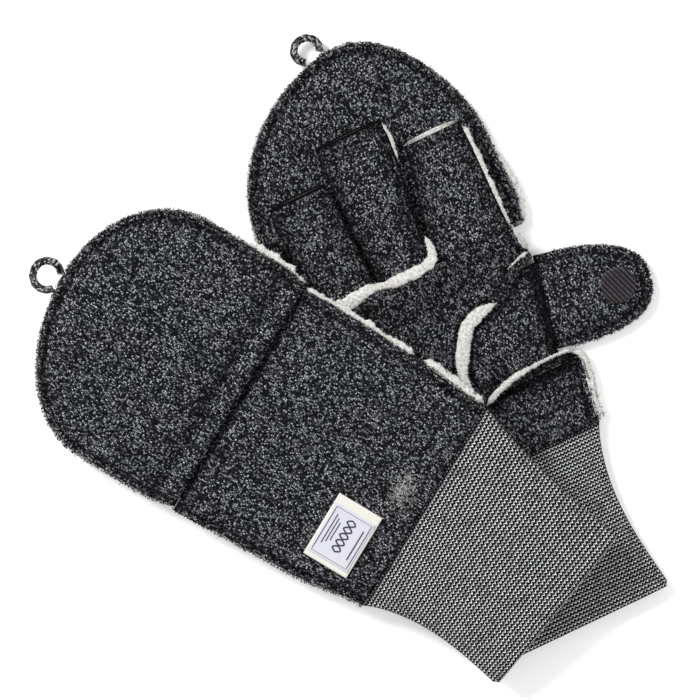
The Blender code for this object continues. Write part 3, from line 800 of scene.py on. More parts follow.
def make_gusset(m, seed):
    """The panel inside the thumb seam, out to the root of the thumb."""
    seam = thumb_seam(m)
    seam = seam[(seam[:, 0] < m.right(seam[:, 1]) - 8.0)]
    v = seam[:, 1]
    root, _, chord = thumb_lines(m.shape)
    edge = np.maximum(m.right(v), root[0] + (v - root[1]) * chord[0] / chord[1]) + 0.4
    u, v, s, d = lay(v, seam[:, 0] + 0.4, edge, 80)
    d = np.minimum(edge_distance(np.stack([u, v], -1), seam), d)
    side = (1.0 - s) * (m.right(v[:, 0]) - seam[:, 0])[:, None] / 2.0
    top = HAND_TOP + rise(v)
    fold = 0.9 * bump(u, 36.0, 4.0) * bump(v, -38.0, 16.0)
    puff = 1.2 * (1.0 - s * s) * smooth(d / 14.0)
    relief = 0.7 * wool(u, v, seed) + puff - fold - 0.9 * bump(side, 0.0, 2.4)
    # Painted shade: dark in the seam grooves, in a wide groove at the thumb's root and near the seams.
    shade = seam_shade(d) * (1.0 - 0.85 * smooth((3.4 - side) / 2.2)) * (1.0 - 0.6 * bump(d, 0.0, 7.0))
    outer, inner = sheet_grids(u, v, top - WALL, top, d, 1, relief)
    piece = m.make("gusset_cloth", sheet_part(outer, inner, shade=shade))
    m.settle(piece, "hand", "heather_knit", "thumb_gusset")


def make_knuckle(m, seed):
    """The inner cloth under the roots of the stalls."""
    v = np.linspace(-0.5, -16.0, 20)
    u, v, _, d = lay(v, m.left(v), m.right(v), 90)
    low = knuckle_low(v)
    rim = (low + HAND_TOP + rise(v)) / 2.0 - 0.15
    relief = 0.2 * wool(u, v, seed)
    outer, inner = sheet_grids(u, v, rim, low, d, -1, relief, wall=1.5)
    piece = m.make("knuckle_cloth", sheet_part(outer, inner, shade=seam_shade(d)))
    m.settle(piece, "hand", "heather_knit", "knuckle_panel")


def pouch(centre, side, height, stations, d, relief_top, relief_low, grow=0.0, **seam):
    """Rings of a flattened tube: over the top from left to right, and back underneath.

    centre and side, the half width as a vector, have a row for each ring; height is half the
    thickness.
    """
    profile = np.maximum(height * crest(d, **seam) - grow, 0.14)
    spots = centre[:, None, :] + side[:, None, :] * stations[None, :, None]
    top, low = spots.copy(), spots.copy()
    fade = smooth(d / 2.0)
    top[..., 2] += profile + relief_top * fade
    low[..., 2] -= profile + relief_low * fade
    return np.concatenate([top, low[:, ::-1]], 1)


def make_cuff(m, seed):
    """The knitted tube round the wrist, its sides bowed in and its free end drawn tight."""
    (l0, r0), (l1, r1) = [[np.array((*corner, 0.0)) for corner in m.shape[key]]
                          for key in ("cuff_seam", "cuff_end")]
    t = np.linspace(0.0, 1.0, 150)[:, None]
    a, b = l0 + (l1 - l0) * t, r0 + (r1 - r0) * t
    draw = np.sin(math.pi * t ** 0.75) * np.array(m.shape["cuff_waist"])
    a[:, 0] += draw[:, 0]
    b[:, 0] -= draw[:, 1]
    waist = 1.0 - 0.035 * np.sin(math.pi * t) - 0.035 * smooth((t - 0.965) / 0.035)
    centre, side = (a + b) / 2.0 + (0.0, 0.0, HAND_TOP / 2.0), (b - a) / 2.0 * waist
    stations = across_stations(158)
    half = np.linalg.norm(side, axis=1, keepdims=True)
    d = (1.0 - np.abs(stations))[None, :] * half
    along = np.repeat(t * np.linalg.norm(l1 - l0), len(stations), 1)
    x = stations[None, :] * half
    height = CUFF_H * (1.0 - 0.30 * smooth((t - 0.96) / 0.04) ** 2)
    flat = {"lip": 0.42, "groove": 0.0, "soft": 4.0}
    calm = 1.0 - smooth((t - 0.9) / 0.1)
    relief = [0.75 * wool(x, along, seed + k, 0.6) * calm + 0.15 for k in (0, 9)]
    pucker = 0.4 * np.cos(x * 2.0 * math.pi / 7.5) * bump(along, 0.0, 7.0)
    relief = [one + pucker for one in relief]
    outer = pouch(centre, side, height, stations, d, *relief, **flat)
    inside = side * (1.0 - CUFF_WALL / half)
    inner = pouch(centre, inside, height, stations, d, 0.0, 0.0, grow=CUFF_WALL, **flat)
    points, faces, _, kinds = tube_part(outer, inner, outside=CUFF, inside=CUFF, edge=CUFF)
    # Painted shade: dark where the cuff meets the hand and along its folded sides.
    shade = 1.0 - 0.8 * bump(along, 0.0, 1.6) - 0.5 * smooth((0.8 - d) / 0.8)
    profile = CUFF_H * crest(d, **flat)
    run = np.cumsum(np.hypot(np.diff(x, axis=1), np.diff(profile, axis=1)), axis=1)
    run = np.concatenate([0.0 * run[:, :1], run], 1) - run[:, -1:] / 2.0
    ring = both_faces(np.stack([run, along, shade], -1)).reshape(-1, 3)
    piece = m.make("cuff_cloth", (points, faces, np.concatenate([ring, ring]), kinds))
    m.settle(piece, "hand", "cuff_knit", "cuff")


# ---------------------------------------------------------------- the cap

def cap_sides(shape, v):
    """Left and right edge of the flip cap at v."""
    tip, round_len = shape["cap_tip"], shape["cap_round"]
    reach = (v - tip + round_len) / round_len
    left, right = (np.maximum(bow(reach, p), 7.0 / 59.0) for p in shape["cap_power"])
    waist = 1.0 - 0.04 * smooth((14.0 - v) / 14.0)
    lean = shape["tip_u"] * np.maximum(v / tip, 0.0) ** 6
    wide_l, wide_r = shape["cap_wide"]
    return lean - wide_l * left * waist, lean + wide_r * right * waist


def cap_stations(tip, start, rows):
    """Values of v from start to the tip, closer together near the tip."""
    t = np.linspace(0.0, 1.0, rows)
    return start + (tip - start) * (0.45 * t + 0.55 * np.sin(t * math.pi / 2.0))


def cap_outline(shape, start=1.0, rows=90):
    """(u, v) chain round the cap from its left hem corner over the tip to its right one."""
    v = cap_stations(shape["cap_tip"], start, rows)
    left, right = cap_sides(shape, v)
    return np.concatenate([np.stack([left, v], 1), np.stack([right, v], 1)[::-1]])


def make_cap(m, seed):
    """Both halves of the flip cap; the back half starts at the knuckle line."""
    shape = m.shape
    tip = shape["cap_tip"]
    outline = cap_outline(shape, -30.0)
    middle = CAP_TOP / 2.0
    for up, start, name, nodes in ((-1, -0.3, "cap_back_cloth", "cap_back"),
                                   (1, 1.5, "cap_front_cloth", "cap_front")):
        v = np.concatenate([np.linspace(start, start + 9.0, 16)[:-1],
                            cap_stations(tip, start + 9.0, 105)])
        left, right = cap_sides(shape, v)
        u, v, s, _ = lay(v, left, right, 130)
        d = edge_distance(np.stack([u, v], -1), outline)
        rim = middle + up * 0.1 + 0.0 * u
        relief = wool(u, v, seed + up)
        shade = seam_shade(d)
        if up < 0:
            crown = shape["swell"] * (1.0 - s * s) * smooth(v / 30.0)
            band = np.sin(math.pi * np.clip((v + 0.3) / 8.6, 0.0, 1.0)) ** 0.55
            ridge = (2.3 * band - 0.8 * bump(v, 10.2, 1.7)) * m.back_up
            relief = relief * m.back_rough + ridge
            # Painted shade: a soft dark fold past the knuckle ridge, and a dark line along the knuckle
            # seam.
            fold = 0.45 * bump(v, 13.0, 4.0) + 0.25 * bump(v, 10.0, 1.6)
            fold = fold * (0.8 + 0.4 * field(u, v, 12.0, seed)) * m.back_up
            shade = shade * (1.0 - fold) * (1.0 - 0.6 * bump(v, -0.3, 1.2))
            face = -crown
            hem = 1.0 - smooth(v / 6.0)
            rim = rim * (1.0 - 0.55 * hem) + WALL * 0.55 * hem
        else:
            face = CAP_TOP + 0.0 * u
            free = smooth((v - 68.0) / 8.0) if not m.flip else 0.0 * v
            relief = np.minimum(relief, 0.15 + 2.0 * free)
        outer, inner = sheet_grids(u, v, rim, face, d, up, relief)
        piece = m.make(name, sheet_part(outer, inner, shade=shade))
        if up < 0:
            m.hinge(piece, "hand", "cap", (0, 0, 0), (0, 6, 0), "heather_knit", nodes)
        else:
            m.settle(piece, "cap", "heather_knit", nodes)


def make_loop(m, seed):
    """The knitted cord loop at the tip of the cap."""
    loop_u, loop_v, loop_r, first, sweep = m.shape["loop"]
    angle = np.radians(first + sweep * np.linspace(-0.03, 1.03, 110))
    path = np.stack([loop_u + (loop_r + 0.4) * np.cos(angle),
                     loop_v + 7.2 + loop_r * np.sin(angle), 4.9 + 0.0 * angle], 1)
    side = sideways(path)
    way = way_along(path)
    turn = np.linspace(0.0, 2.0 * math.pi, 28, endpoint=False)
    twist = np.cos(3.0 * turn[None, :] + way[:, None] * 2.0 * math.pi / 3.4)
    radius = CORD_R + 0.05 + 0.10 * twist + 0.10 * field(way[:, None], 3 * turn, 0.8, seed)
    up = np.array((0.0, 0.0, 1.0))
    rings = path[:, None] + side[:, None] * (np.cos(turn) * radius)[..., None]
    rings = rings + up * (np.sin(turn) * radius * 0.9)[..., None]
    cloth = np.stack(np.broadcast_arrays(turn[None, :] * CORD_R, way[:, None]), -1)
    dice = np.random.RandomState(seed)
    hairs = bar_fibres(dice, rings, path, 260, 0.8, (0.4, 1.1), DARK, seed, 0.05)
    piece = m.make("cap_loop_knit", rope_part(rings, cloth, CORD), hairs)
    m.settle(piece, "cap", "marled_cord", "cap_loop")


# ---------------------------------------------------------------- fingers and thumb

def make_stall(m, stall, seed):
    """An open half finger with a turned hem. A long lower lip shows fleece; a short one is dark knit,
    its tip darkened further by painted shadow.
    """
    name, base_l, base_r, tip_l, tip_r, length, roll, lip = stall
    t = np.linspace(0.0, 1.0, 90)
    v = -0.4 + (length + 0.4) * t
    a = base_l + (tip_l - base_l) * smooth(t)
    b = base_r + (tip_r - base_r) * smooth(t)
    half = (b - a) / 2.0 * (1.0 - 0.05 * smooth((t - 0.85) / 0.15))
    lean = roll * smooth(t * 1.6)
    root = 1.0 - smooth(t / 0.25)
    centre = np.stack([(a + b) / 2.0, v, STALL_LOW + STALL_H + 0.6 * root - half * lean], 1)
    side = np.stack([half, 0.0 * t, half * lean], 1)
    stations = across_stations(56)
    d = (1.0 - np.abs(stations))[None, :] * half[:, None]
    u = centre[:, :1] + half[:, None] * stations[None, :]
    row = v[:, None]
    hem = 0.5 * bump(row, length - 2.0, 1.9) - 0.5 * bump(row, length - 5.2, 0.9)
    sag = -0.9 * (1.0 - stations[None, :] ** 2) * smooth((row - 0.3 * length) / length)
    top = 0.6 * wool(u, row + 0 * u, seed) + hem + sag + 0.75 * (1.0 - smooth(row / 14.0))
    low = 0.12 * wool(u, row + 0 * u, seed + 3) + 0.5 * hem
    form = {"lip": 0.40, "groove": 0.08, "soft": 3.2}
    high = STALL_H * (1.0 + 0.0 * row)
    outer = pouch(centre, side, high, stations, d, top, np.minimum(low, 0.15), **form)
    thin = side * (1.0 - STALL_CLOTH / half)[:, None]
    inner = pouch(centre, thin, high, stations, d, top, 0.0, grow=STALL_CLOTH, **form)
    taper = np.sqrt(np.clip(1.0 - stations ** 2, 0.0, 1.0))
    reach = lip * smooth((row - length + 7.0) / 7.0) * taper
    count = len(stations)
    for rings in (outer, inner):
        rings[:, count:, 1] += reach[:, ::-1]
        rings[:, :count, 1] -= 0.2 * reach
    # Painted shade along the sides between the stalls, in the hem groove and at the root; at a short
    # lip, painted shadow also darkens the tip and its lining.
    sides = smooth((1.6 - d) / 1.6) * 0.75 + 0.6 * bump(d, 0.0, 6.0)
    shade = (1.0 - np.minimum(sides, 0.9)) * (1.0 - 0.6 * bump(row, length - 5.2, 1.1))
    shade = shade * (1.0 - 0.5 * bump(row, 0.0, 2.0))
    showing = lip > LONG_LIP
    if not showing:
        shade = shade * (1.0 - smooth((row - length + 2.2) / 1.4))
    part = tube_part(outer, inner, edge=PILE if showing else KNIT, shade=both_faces(shade))
    dice = np.random.RandomState(seed)
    amount = 170
    spot = dice.randint(0, 2 * count, amount)
    roots = (outer[-1, spot] + inner[-1, spot]) / 2.0
    ways = dice.normal(size=(amount, 3)) * (0.7, 0.4, 0.5) + (0.0, 0.8, 0.2)
    kind = WHITE if showing else DARK
    parts = [part, hair_part(roots, ways, dice.uniform(0.3, 0.9, amount), kind, seed, 0.06)]
    edge = dice.randint(0, len(t), amount), np.where(dice.rand(amount) < 0.5, 1, count - 2)
    ways = dice.normal(size=(amount, 3)) * 0.5 + np.where(edge[1] == 1, -1, 1)[:, None] * (1, 0, 0)
    parts.append(hair_part(outer[edge], ways, dice.uniform(0.4, 1.0, amount), DARK, seed + 1, 0.07))
    if name in m.shape["bared"]:
        start, end, width = m.shape["bared"][name]
        line = np.linspace(start, end, 7)
        path = column_line(np.interp(line, v, centre[:, 0] + half) + 0.2, line, STALL_LOW + STALL_H)
        parts += fleece_part(walk(path), width, 2.2, seed + 4, 0.4)
    piece = m.make(f"{name}_stall_cloth", *parts)
    m.hinge(piece, "hand", name + "_finger", (0, 0, 0), (0, 9, 0), "heather_knit",
            name + "_stall")


def thumb_lines(shape):
    """Root, direction along the thumb and direction across it, in (u, v)."""
    root = np.array(shape["thumb_root"])
    along = np.array(shape["thumb_dir"])
    along = along / np.linalg.norm(along)
    return root, along, np.array((-along[1], along[0]))


def thumb_place(shape, x, y, h):
    """(u, v, h) of points x along and y across the thumb, folded onto the palm if it lies so."""
    root, along, chord = thumb_lines(shape)
    x, y, h = np.broadcast_arrays(x, y, h)
    if shape["thumb_folded"]:
        x, h = -x, 2.0 * THUMB_FOLD_H - h
    flat = root + x[..., None] * along + y[..., None] * chord
    return np.concatenate([flat, h[..., None]], -1)


def thumb_half(x):
    """Half the width of the thumb at x mm from its root."""
    return THUMB_HALF * np.maximum(bow(x / THUMB_LEN, 2.6), 0.05)


def thumb_tube(m, x, seed, closed):
    """The thumb's cloth at x mm from its root, closed at the tip or open at both ends."""
    stations = across_stations(72)
    rim_x = np.linspace(0.0, THUMB_LEN, 60)
    rim = np.concatenate([np.stack([rim_x, -thumb_half(rim_x)], 1),
                          np.stack([rim_x, thumb_half(rim_x)], 1)[::-1]])
    half = thumb_half(x)
    y = half[:, None] * stations[None, :]
    row = np.repeat(x[:, None], len(stations), 1)
    d = edge_distance(np.stack([row, y], -1), rim)
    d = np.minimum(d, (1.0 - np.abs(stations))[None, :] * half[:, None] + 0.0 * d)
    form = {"lip": 0.30, "groove": 0.14, "soft": 4.5}
    relief = 0.6 * wool(row, y, seed) - 1.5 * bump(row, 0.0, 2.6)
    relief = relief * smooth(d / 2.0)
    # Painted shade: dark in the seam grooves and in the groove at the thumb's root.
    shade = seam_shade(d) * (1.0 - 0.9 * smooth((2.4 - row) / 2.0))
    gap = np.maximum(THUMB_H * crest(d, **form) - THUMB_WALL, 0.1)
    upper = THUMB_MID + np.maximum(THUMB_H * crest(d, **form) + relief + 0.1, gap + 0.25)
    lower = THUMB_MID - THUMB_H * crest(d, **form) - 0.1
    outer = np.concatenate([thumb_place(m.shape, row, y, upper),
                            thumb_place(m.shape, row, y, lower)[:, ::-1]], 1)
    thin = (1.0 - np.minimum(THUMB_WALL / half, 0.4))[:, None]
    shy = row - (THUMB_WALL * smooth((row / THUMB_LEN - 0.7) / 0.3) if closed else 0.0)
    gap = np.minimum(gap, upper - THUMB_MID - 0.2)
    inner = np.concatenate([thumb_place(m.shape, shy, y * thin, THUMB_MID + gap),
                            thumb_place(m.shape, shy, y * thin, THUMB_MID - gap)[:, ::-1]], 1)
    return tube_part(outer, inner, closed, shade=both_faces(shade))


def make_thumb(m, seed):
    """The open stall of the thumb, its flip cap and the ribbed pad on the cap."""
    shape = m.shape
    x = np.linspace(-0.3, COLLAR - 0.05, 16)
    stall = m.make("thumb_stall_cloth", thumb_tube(m, x, seed, False))
    start, end = thumb_place(shape, np.array((0.0, 5.0)), 0.0, THUMB_MID)
    m.hinge(stall, "hand", "thumb", start, end, "heather_knit", "thumb_stall")

    first = COLLAR + 0.05
    x = np.concatenate([np.linspace(first, first + 4.0, 8)[:-1],
                        first + 4.0 + (THUMB_LEN - first - 4.0)
                        * np.sin(np.linspace(0.0, math.pi / 2.0, 66))])
    body = thumb_tube(m, x, seed, True)
    angle = np.random.RandomState(seed).uniform(-1.0, 1.0, 1500)
    rim_x = THUMB_LEN - (THUMB_LEN - first) * np.abs(angle) ** 2.2
    rim_y = np.sign(angle) * thumb_half(rim_x)
    fuzz = outline_fuzz(thumb_place(shape, rim_x, rim_y, THUMB_MID), rim_x - 26.0, rim_y, seed)
    cap = m.make("thumb_cap_cloth", body, fuzz)
    m.settle(cap, "thumb_flap", "heather_knit", "thumb_cap")

    # Round ribbed pad: the ribs slope across the thumb.
    radii = np.concatenate([np.linspace(0.4, PAD_R, 18), [PAD_R + 0.05, PAD_R - 0.1],
                            np.linspace(PAD_R - 0.4, 0.4, 44)])
    turn = np.linspace(0.0, 2.0 * math.pi, 110, endpoint=False)
    px = PAD_X + radii[:, None] * np.cos(turn)
    py = radii[:, None] * np.sin(turn)
    _, along, chord = thumb_lines(shape)
    flat = px[..., None] * along + py[..., None] * chord
    ribs = np.clip(np.cos((flat @ np.array((0.942, 0.335))) * 2.0 * math.pi / 1.8) * 1.6, -1.0, 1.0)
    rank = np.arange(len(radii))[:, None]
    top = THUMB_MID + THUMB_H + 0.85 + 0.40 * ribs
    top = top - 0.5 * smooth((radii[:, None] - PAD_R + 1.1) / 1.1)
    high = np.where(rank < 18, THUMB_MID + THUMB_H - 0.4, top)
    spots = thumb_place(shape, px, py, high)
    # Painted shade for the pad: darker in the grooves between the ribs.
    shade = 0.5 + 0.5 * ribs + 0.0 * radii[:, None]
    flat = np.concatenate([flat, shade[..., None]], -1)
    pad = m.make("thumb_pad_ribbed", rope_part(spots, flat, RIB))
    m.settle(pad, "thumb_flap", "pad_rubber", "thumb_pad")


# ---------------------------------------------------------------- fleece edges and fuzz

def outline_fuzz(roots, out_u, out_v, seed, kind=DARK, longest=1.25, thick=0.2):
    """Fibres that stand out of a seam, away from the panel."""
    dice = np.random.RandomState(seed)
    count = len(roots)
    way = np.stack([out_u, out_v, 0.0 * out_u], 1)
    way /= np.linalg.norm(way, axis=1, keepdims=True)
    way = way + dice.normal(size=(count, 3)) * (0.75, 0.75, 0.55)
    roots = roots + dice.normal(size=(count, 3)) * (0.3, 0.3, 0.6)
    lengths = dice.uniform(0.45, 1.0, count) ** 2 * longest
    return hair_part(roots, way, lengths, kind, seed, thick, 0.6)


def chain_fuzz(chain, high, per_mm, seed, **kind):
    """Outline fuzz along a chain of (u, v) points that runs clockwise round its panel."""
    path = walk(column_line(chain[:, 0], chain[:, 1], high), 0.5)
    dice = np.random.RandomState(seed)
    pick = dice.randint(0, len(path), int(len(path) * 0.5 * per_mm))
    out = -sideways(path)
    return outline_fuzz(path[pick], out[pick, 0], out[pick, 1], seed, **kind)


def fleece_part(path, width, thick, seed, uneven=0.2):
    """A brushed strip of fleece along a path in (u, v, h); width may vary along it."""
    count = 20
    turn = np.linspace(0.0, 2.0 * math.pi, count, endpoint=False)
    side = sideways(path)
    way = way_along(path)
    ends = smooth(np.minimum(way, way[-1] - way) / 2.5) * 0.9 + 0.1
    patchy = 1.0 + uneven * (field(way, 0 * way, 4.0, seed) + 0.5 * field(way, 0 * way, 1.5, seed))
    patchy = np.maximum(patchy, 0.15)
    half = np.broadcast_to(width, way.shape) / 2.0 * ends * patchy
    lumps = field(way[:, None] + 0 * turn, count * turn / 6.0, 1.2, seed + 1)
    grain = np.random.RandomState(seed).uniform(-1.0, 1.0, lumps.shape)
    swell = 1.0 + 0.08 * lumps + 0.06 * grain
    dice = np.random.RandomState(seed + 2)
    ragged = dice.uniform(-0.28, 0.28, (len(path), 2)) * ends[:, None]
    spread = half[:, None] * swell + np.where(np.cos(turn) > 0.0, ragged[:, :1], ragged[:, 1:])
    rings = path[:, None] + side[:, None] * (np.maximum(spread, 0.05) * np.cos(turn))[..., None]
    tall = (thick / 2.0 * ends)[:, None] * np.sin(turn) * (1.0 + 0.14 * lumps + 0.08 * grain)
    rings[..., 2] += tall
    cloth = np.stack(np.broadcast_arrays(way[:, None], turn * 2.0), -1)
    amount = int(way[-1] * 12)
    hairs = bar_fibres(dice, rings, path, amount, 0.6, (0.3, 0.9), WHITE, seed, 0.07, 0.8)
    return [rope_part(rings, cloth, PILE), hairs]


def level(points, high):
    """(u, v) points at one height."""
    return [(u, v, high) for u, v in points]


def make_edges(m, seed):
    """The turned-out fleece of the thumb, finger and heel seams."""
    shape = m.shape
    shift = shape["seam_shift"]
    seam = [(28.0, -28.2), (18.5, -29.2), (11.4, -32.0), (6.7, -38.0), (2.6, -44.4), (-0.3, -51.3),
            (-1.0, -58.4), (0.5, -64.4)]
    path = walk([(u + shift, v, HAND_TOP + rise(v) + 0.7) for u, v in seam])
    share = np.linspace(0.0, 1.0, len(path))
    width = 6.0 * smooth(share / 0.3 + 0.25) * (1.0 - 0.5 * smooth((share - 0.55) / 0.45))
    parts = fleece_part(path, width, 1.6, seed, 0.12)
    under = [(3.7, -68.8), (11.4, -65.3), (21.7, -62.6), (31.0, -61.8), (40.0, -61.5), (50.0, -62.0)]
    lower = walk([(u + shift, v, HAND_TOP + 0.7) for u, v in under])
    share = np.linspace(0.0, 1.0, len(lower))
    parts += fleece_part(lower, 3.0 - 1.6 * smooth((share - 0.4) / 0.3), 1.6, seed + 5, 0.15)
    root = [(39.0, -16.4), (43.5, -14.8), (47.5, -13.6), (51.0, -13.2)]
    path = walk([(u + shift, v, HAND_TOP + rise(v) + 0.7) for u, v in root])
    parts += fleece_part(path, 1.5, 1.4, seed + 7, 0.5)
    piece = m.make("thumb_seam_fleece", *parts)
    m.settle(piece, "hand", "white_fleece", "thumb_seam_edge")

    stalls = {stall[0]: stall for stall in shape["stalls"]}
    start, end = stalls["ring"][1] + 3.5, stalls["middle"][2]
    run = [(start, -0.6), (start + 10.0, 0.6), (start + 22.0, 2.2), (start + 33.0, 0.6),
           (end - 8.0, 0.4), (end - 1.5, 1.6), (end + 1.6, 5.5), (end + 1.9, 13.5)]
    path = walk([(a, b, HAND_TOP + rise(min(b, 0.0)) + 0.5) for a, b in run])
    share = np.linspace(0.0, 1.0, len(path))
    width = 4.8 + 2.6 * bump(share, 0.10, 0.10) - 1.2 * bump(share, 0.42, 0.08)
    width = width - 2.8 * smooth((share - 0.80) / 0.2)
    piece = m.make("finger_seam_fleece", *fleece_part(path, width, 1.8, seed + 9))
    m.settle(piece, "hand", "white_fleece", "finger_seam_edge")

    v = np.linspace(-63.5, -96.5, 9)
    path = walk(column_line(m.right(v) + 1.0, v, 5.0))
    parts = fleece_part(path, 4.4, 4.0, seed + 13, 0.2)
    parts.append(chain_fuzz(path[:, :2] + (1.6, 0.0), 5.0, 3.0, seed, longest=1.4))
    piece = m.make("heel_seam_fleece", *parts)
    m.settle(piece, "hand", "white_fleece", "heel_seam_edge")


def make_side_seams(m, seed):
    """Fleece that shows between the back and the palm along both sides of the hand."""
    parts = []
    v = np.linspace(-21.0, -96.0, 14)
    path = walk(column_line(m.left(v) + 0.3, v, 5.0))
    parts += fleece_part(path, 1.2, 1.6, seed, 0.9)
    if m.flip:
        v = np.array((-1.0, -8.0, -18.0, -28.0, -38.0, -48.0, -58.0))
        path = walk(column_line(m.right(v) + 1.0, v, 4.2))
        parts += fleece_part(path, 3.6, 2.4, seed + 1, 0.45)
    else:
        v = np.array((0.8, -3.0, -6.0, -9.0, -12.0))
        path = walk(column_line(m.right(v) + 0.1, v, HAND_TOP + rise(v) - 1.4))
        parts += fleece_part(path, 2.2, 2.4, seed + 1, 0.4)
    v = np.linspace(-97.0, 0.0, 20)
    chain = np.stack([m.left(v), v], 1)
    high = 3.2 if m.flip else 6.8
    parts.append(chain_fuzz(chain, high, 7.0, seed + 2))
    v = np.linspace(0.0, -97.0, 20) if m.flip else np.linspace(-64.0, -97.0, 8)
    chain = np.stack([m.right(v), v], 1)
    parts.append(chain_fuzz(chain, high - 0.8 if m.flip else high, 6.0, seed + 3))
    piece = m.make("side_seam_fleece", *parts)
    m.settle(piece, "hand", "white_fleece")


def make_cap_seam(m, seed):
    """Fleece and fuzz between the halves of the cap, wider where the seam is bare."""
    chain = cap_outline(m.shape, 1.0, 60)
    high = CAP_TOP / 2.0
    path = walk(column_line(chain[:, 0], chain[:, 1], high))
    share = np.linspace(0.0, 1.0, len(path))
    bare = smooth((share - 0.86) / 0.05)
    if not m.flip:
        bare = bare + 0.42 * smooth((share - 0.08) / 0.05) * smooth((0.44 - share) / 0.05)
    width = 0.7 + 2.4 * bare
    path = path + sideways(path) * (0.4 - 1.8 * bare)[:, None]
    parts = fleece_part(path, width, 1.8, seed, 0.8)
    for number, offset in enumerate((1.8, -1.8)):
        parts.append(chain_fuzz(chain, high + offset, 7.0, seed + 3 + number, longest=1.4))
    parts.append(chain_fuzz(chain, high, 2.0, seed + 6, kind=WHITE, longest=1.5, thick=0.1))
    piece = m.make("cap_seam_fleece", *parts)
    m.settle(piece, "cap", "white_fleece")


# ---------------------------------------------------------------- label and brushed spot

def on_back(m, u, v, off):
    """Points off mm outside the face of the hand's back."""
    return np.stack([u, v, back_face(m, u, v) - 0.1 - off], -1)


def thread_part(m, line, width, off, kind=INK):
    """A flat raised line of woven thread on the label, through a few (u, v) points."""
    path = walk(level(line, 0.0), 0.35)
    side = sideways(path)
    turn = np.linspace(0.0, 2.0 * math.pi, 8, endpoint=False)
    rings = path[:, None] + side[:, None] * (np.cos(turn) * width / 2.0)[None, :, None]
    rings[..., 2] = back_face(m, rings[..., 0], rings[..., 1]) - 0.1 - off + 0.14 * np.sin(turn)
    return rope_part(rings, rings[..., :2].copy(), kind)


def patch_part(m, lo_u, hi_u, lo_v, hi_v, off, thick, kind):
    """A small woven rectangle that follows the back."""
    u, v = np.meshgrid(np.linspace(lo_u, hi_u, 40), np.linspace(lo_v, hi_v, 30))
    curl = 0.25 * (bump(u, lo_u, 2.5) + bump(u, hi_u, 2.5))
    outer, inner = on_back(m, u, v, off + thick + curl), on_back(m, u, v, off + curl * 0.6)
    return sheet_part(outer, inner, kind, kind, kind)


def make_label(m):
    """The woven label, with a frame, a chain of lozenges and plain bars as its marks."""
    lo_u, hi_u, lo_v, hi_v = LABEL
    parts = [patch_part(m, lo_u, hi_u, lo_v, hi_v, 0.15, 0.45, CREAM),
             patch_part(m, lo_u + 2.4, hi_u - 4.6, lo_v + 1.0, hi_v - 1.0, 0.62, 0.12, LAVENDER)]
    top = 0.84
    left, right, low, high = lo_u + 3.6, hi_u - 5.8, lo_v + 2.2, hi_v - 2.2
    corners = [(left, low), (right, low), (right, high), (left, high), (left, low)]
    for (u0, v0), (u1, v1) in zip(corners, corners[1:]):
        parts.append(thread_part(m, [(u0, v0), ((u0 + u1) / 2, (v0 + v1) / 2), (u1, v1)], 0.35, top))
    middle = (low + high) / 2.0
    for number in range(5):
        u0 = left + 6.0 + 3.4 * number
        lozenge = [(u0 - 1.5, middle - 0.6), (u0, middle + 1.5), (u0 + 1.5, middle - 0.6),
                   (u0, middle - 2.7), (u0 - 1.5, middle - 0.6)]
        parts.append(thread_part(m, lozenge, 0.75, top))
    for row in range(3):
        start = left + 5.0 + 1.5 * row
        line = [(start, high - 2.2 - 1.5 * row), (start + 4.0, high - 2.2 - 1.5 * row),
                (right - 3.0 - 1.5 * row, high - 2.2 - 1.5 * row)]
        parts.append(thread_part(m, line, 0.45, top))
    line = [(left + 4.0, low + 2.0), ((left + right) / 2.0, low + 2.0), (right - 4.0, low + 2.0)]
    parts.append(thread_part(m, line, 0.6, top))
    piece = m.make("label_cloth", *parts)
    m.settle(piece, "hand", "label_woven", "label")


def make_brushed_spot(m, seed):
    """A small worn patch where the fleece has come through the knit."""
    dice = np.random.RandomState(seed)
    count = 420
    u = 2.0 + 4.6 * dice.normal(size=count)
    v = -86.0 + 2.6 * dice.normal(size=count)
    ways = dice.normal(size=(count, 3)) * (1.0, 0.6, 0.15) + (0.2, 0.5, -0.12)
    roots = on_back(m, u, v, 0.3)
    hairs = hair_part(roots, ways, dice.uniform(0.8, 1.8, count), WHITE, seed, 0.07, 0.3)
    piece = m.make("brushed_spot_fibres", hairs)
    m.settle(piece, "hand", "white_fleece")


# ---------------------------------------------------------------- the pair and its setting

def make_mitten(side, lies, flip, shape, seed):
    """Every piece of one mitten."""
    m = Mitten(side, lies, flip, shape)
    make_back(m, seed)
    make_palm(m, seed + 20)
    make_gusset(m, seed + 40)
    make_knuckle(m, seed + 60)
    make_cuff(m, seed + 80)
    make_cap(m, seed + 110)
    make_loop(m, seed + 130)
    for number, stall in enumerate(shape["stalls"]):
        make_stall(m, stall, seed + 140 + 10 * number)
    make_thumb(m, seed + 200)
    make_edges(m, seed + 220)
    make_side_seams(m, seed + 250)
    make_cap_seam(m, seed + 270)
    return m


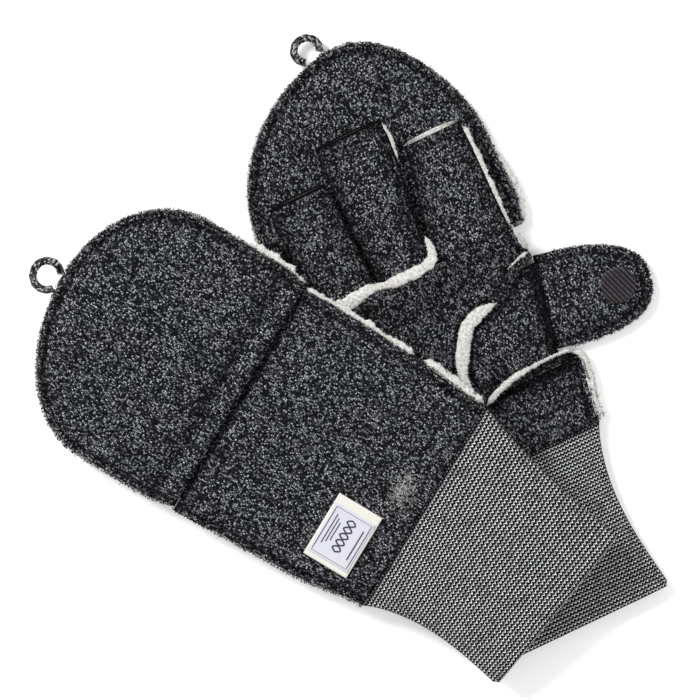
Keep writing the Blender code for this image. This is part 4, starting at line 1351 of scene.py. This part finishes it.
def make_floor():
    """A pale, matt floor that glows a little."""
    mesh = bpy.data.meshes.new("floor")
    reach = 3.0
    corners = [(-reach, -reach, 0), (reach, -reach, 0), (reach, reach, 0), (-reach, reach, 0)]
    mesh.from_pydata(corners, [], [(0, 1, 2, 3)])
    material = bpy.data.materials.new("pale_floor")
    material.use_nodes = True
    shader = material.node_tree.nodes["Principled BSDF"]
    shader.inputs["Base Color"].default_value = (0.93, 0.93, 0.93, 1.0)
    shader.inputs["Roughness"].default_value = 1.0
    shader.inputs["Specular IOR Level"].default_value = 0.0
    shader.inputs["Emission Color"].default_value = (1.0, 1.0, 1.0, 1.0)
    shader.inputs["Emission Strength"].default_value = 0.22
    mesh.materials.append(material)
    floor = bpy.data.objects.new("floor", mesh)
    bpy.context.collection.objects.link(floor)


def make_light(name, place, aim, size, power):
    """A round area light that points at aim."""
    lamp = bpy.data.lights.new(name, "AREA")
    lamp.shape = "DISK"
    lamp.size = size
    lamp.energy = power
    rig = bpy.data.objects.new(name, lamp)
    rig.location = place
    rig.rotation_euler = (Vector(aim) - Vector(place)).to_track_quat("-Z", "Y").to_euler()
    bpy.context.collection.objects.link(rig)


def make_setting():
    """Floor, sky, two lights and the camera."""
    make_floor()
    world = bpy.data.worlds.new("studio")
    world.use_nodes = True
    sky = world.node_tree.nodes["Background"]
    sky.inputs["Color"].default_value = (1.0, 1.0, 1.0, 1.0)
    sky.inputs["Strength"].default_value = 0.62
    bpy.context.scene.world = world
    make_light("key", (-1.1, 0.9, 1.3), (0.0, 0.0, 0.0), 0.7, 38.0)
    make_light("fill", (1.1, -0.6, 1.4), (0.0, 0.0, 0.0), 1.2, 8.0)
    camera = bpy.data.cameras.new("camera")
    camera.lens = LENS
    camera.sensor_width = SENSOR
    camera.clip_end = 20.0
    rig = bpy.data.objects.new("camera", camera)
    rig.location = (*VIEW_CENTRE, VIEW_HEIGHT + VIEW_WIDTH * LENS / SENSOR)
    bpy.context.collection.objects.link(rig)
    bpy.context.scene.camera = rig
    bpy.context.scene.view_settings.view_transform = "Standard"


make_setting()
make_mitten("right", RIGHT_LIES, False, RIGHT, 100)
left_mitten = make_mitten("left", LEFT_LIES, True, LEFT, 500)
make_label(left_mitten)
make_brushed_spot(left_mitten, 900)
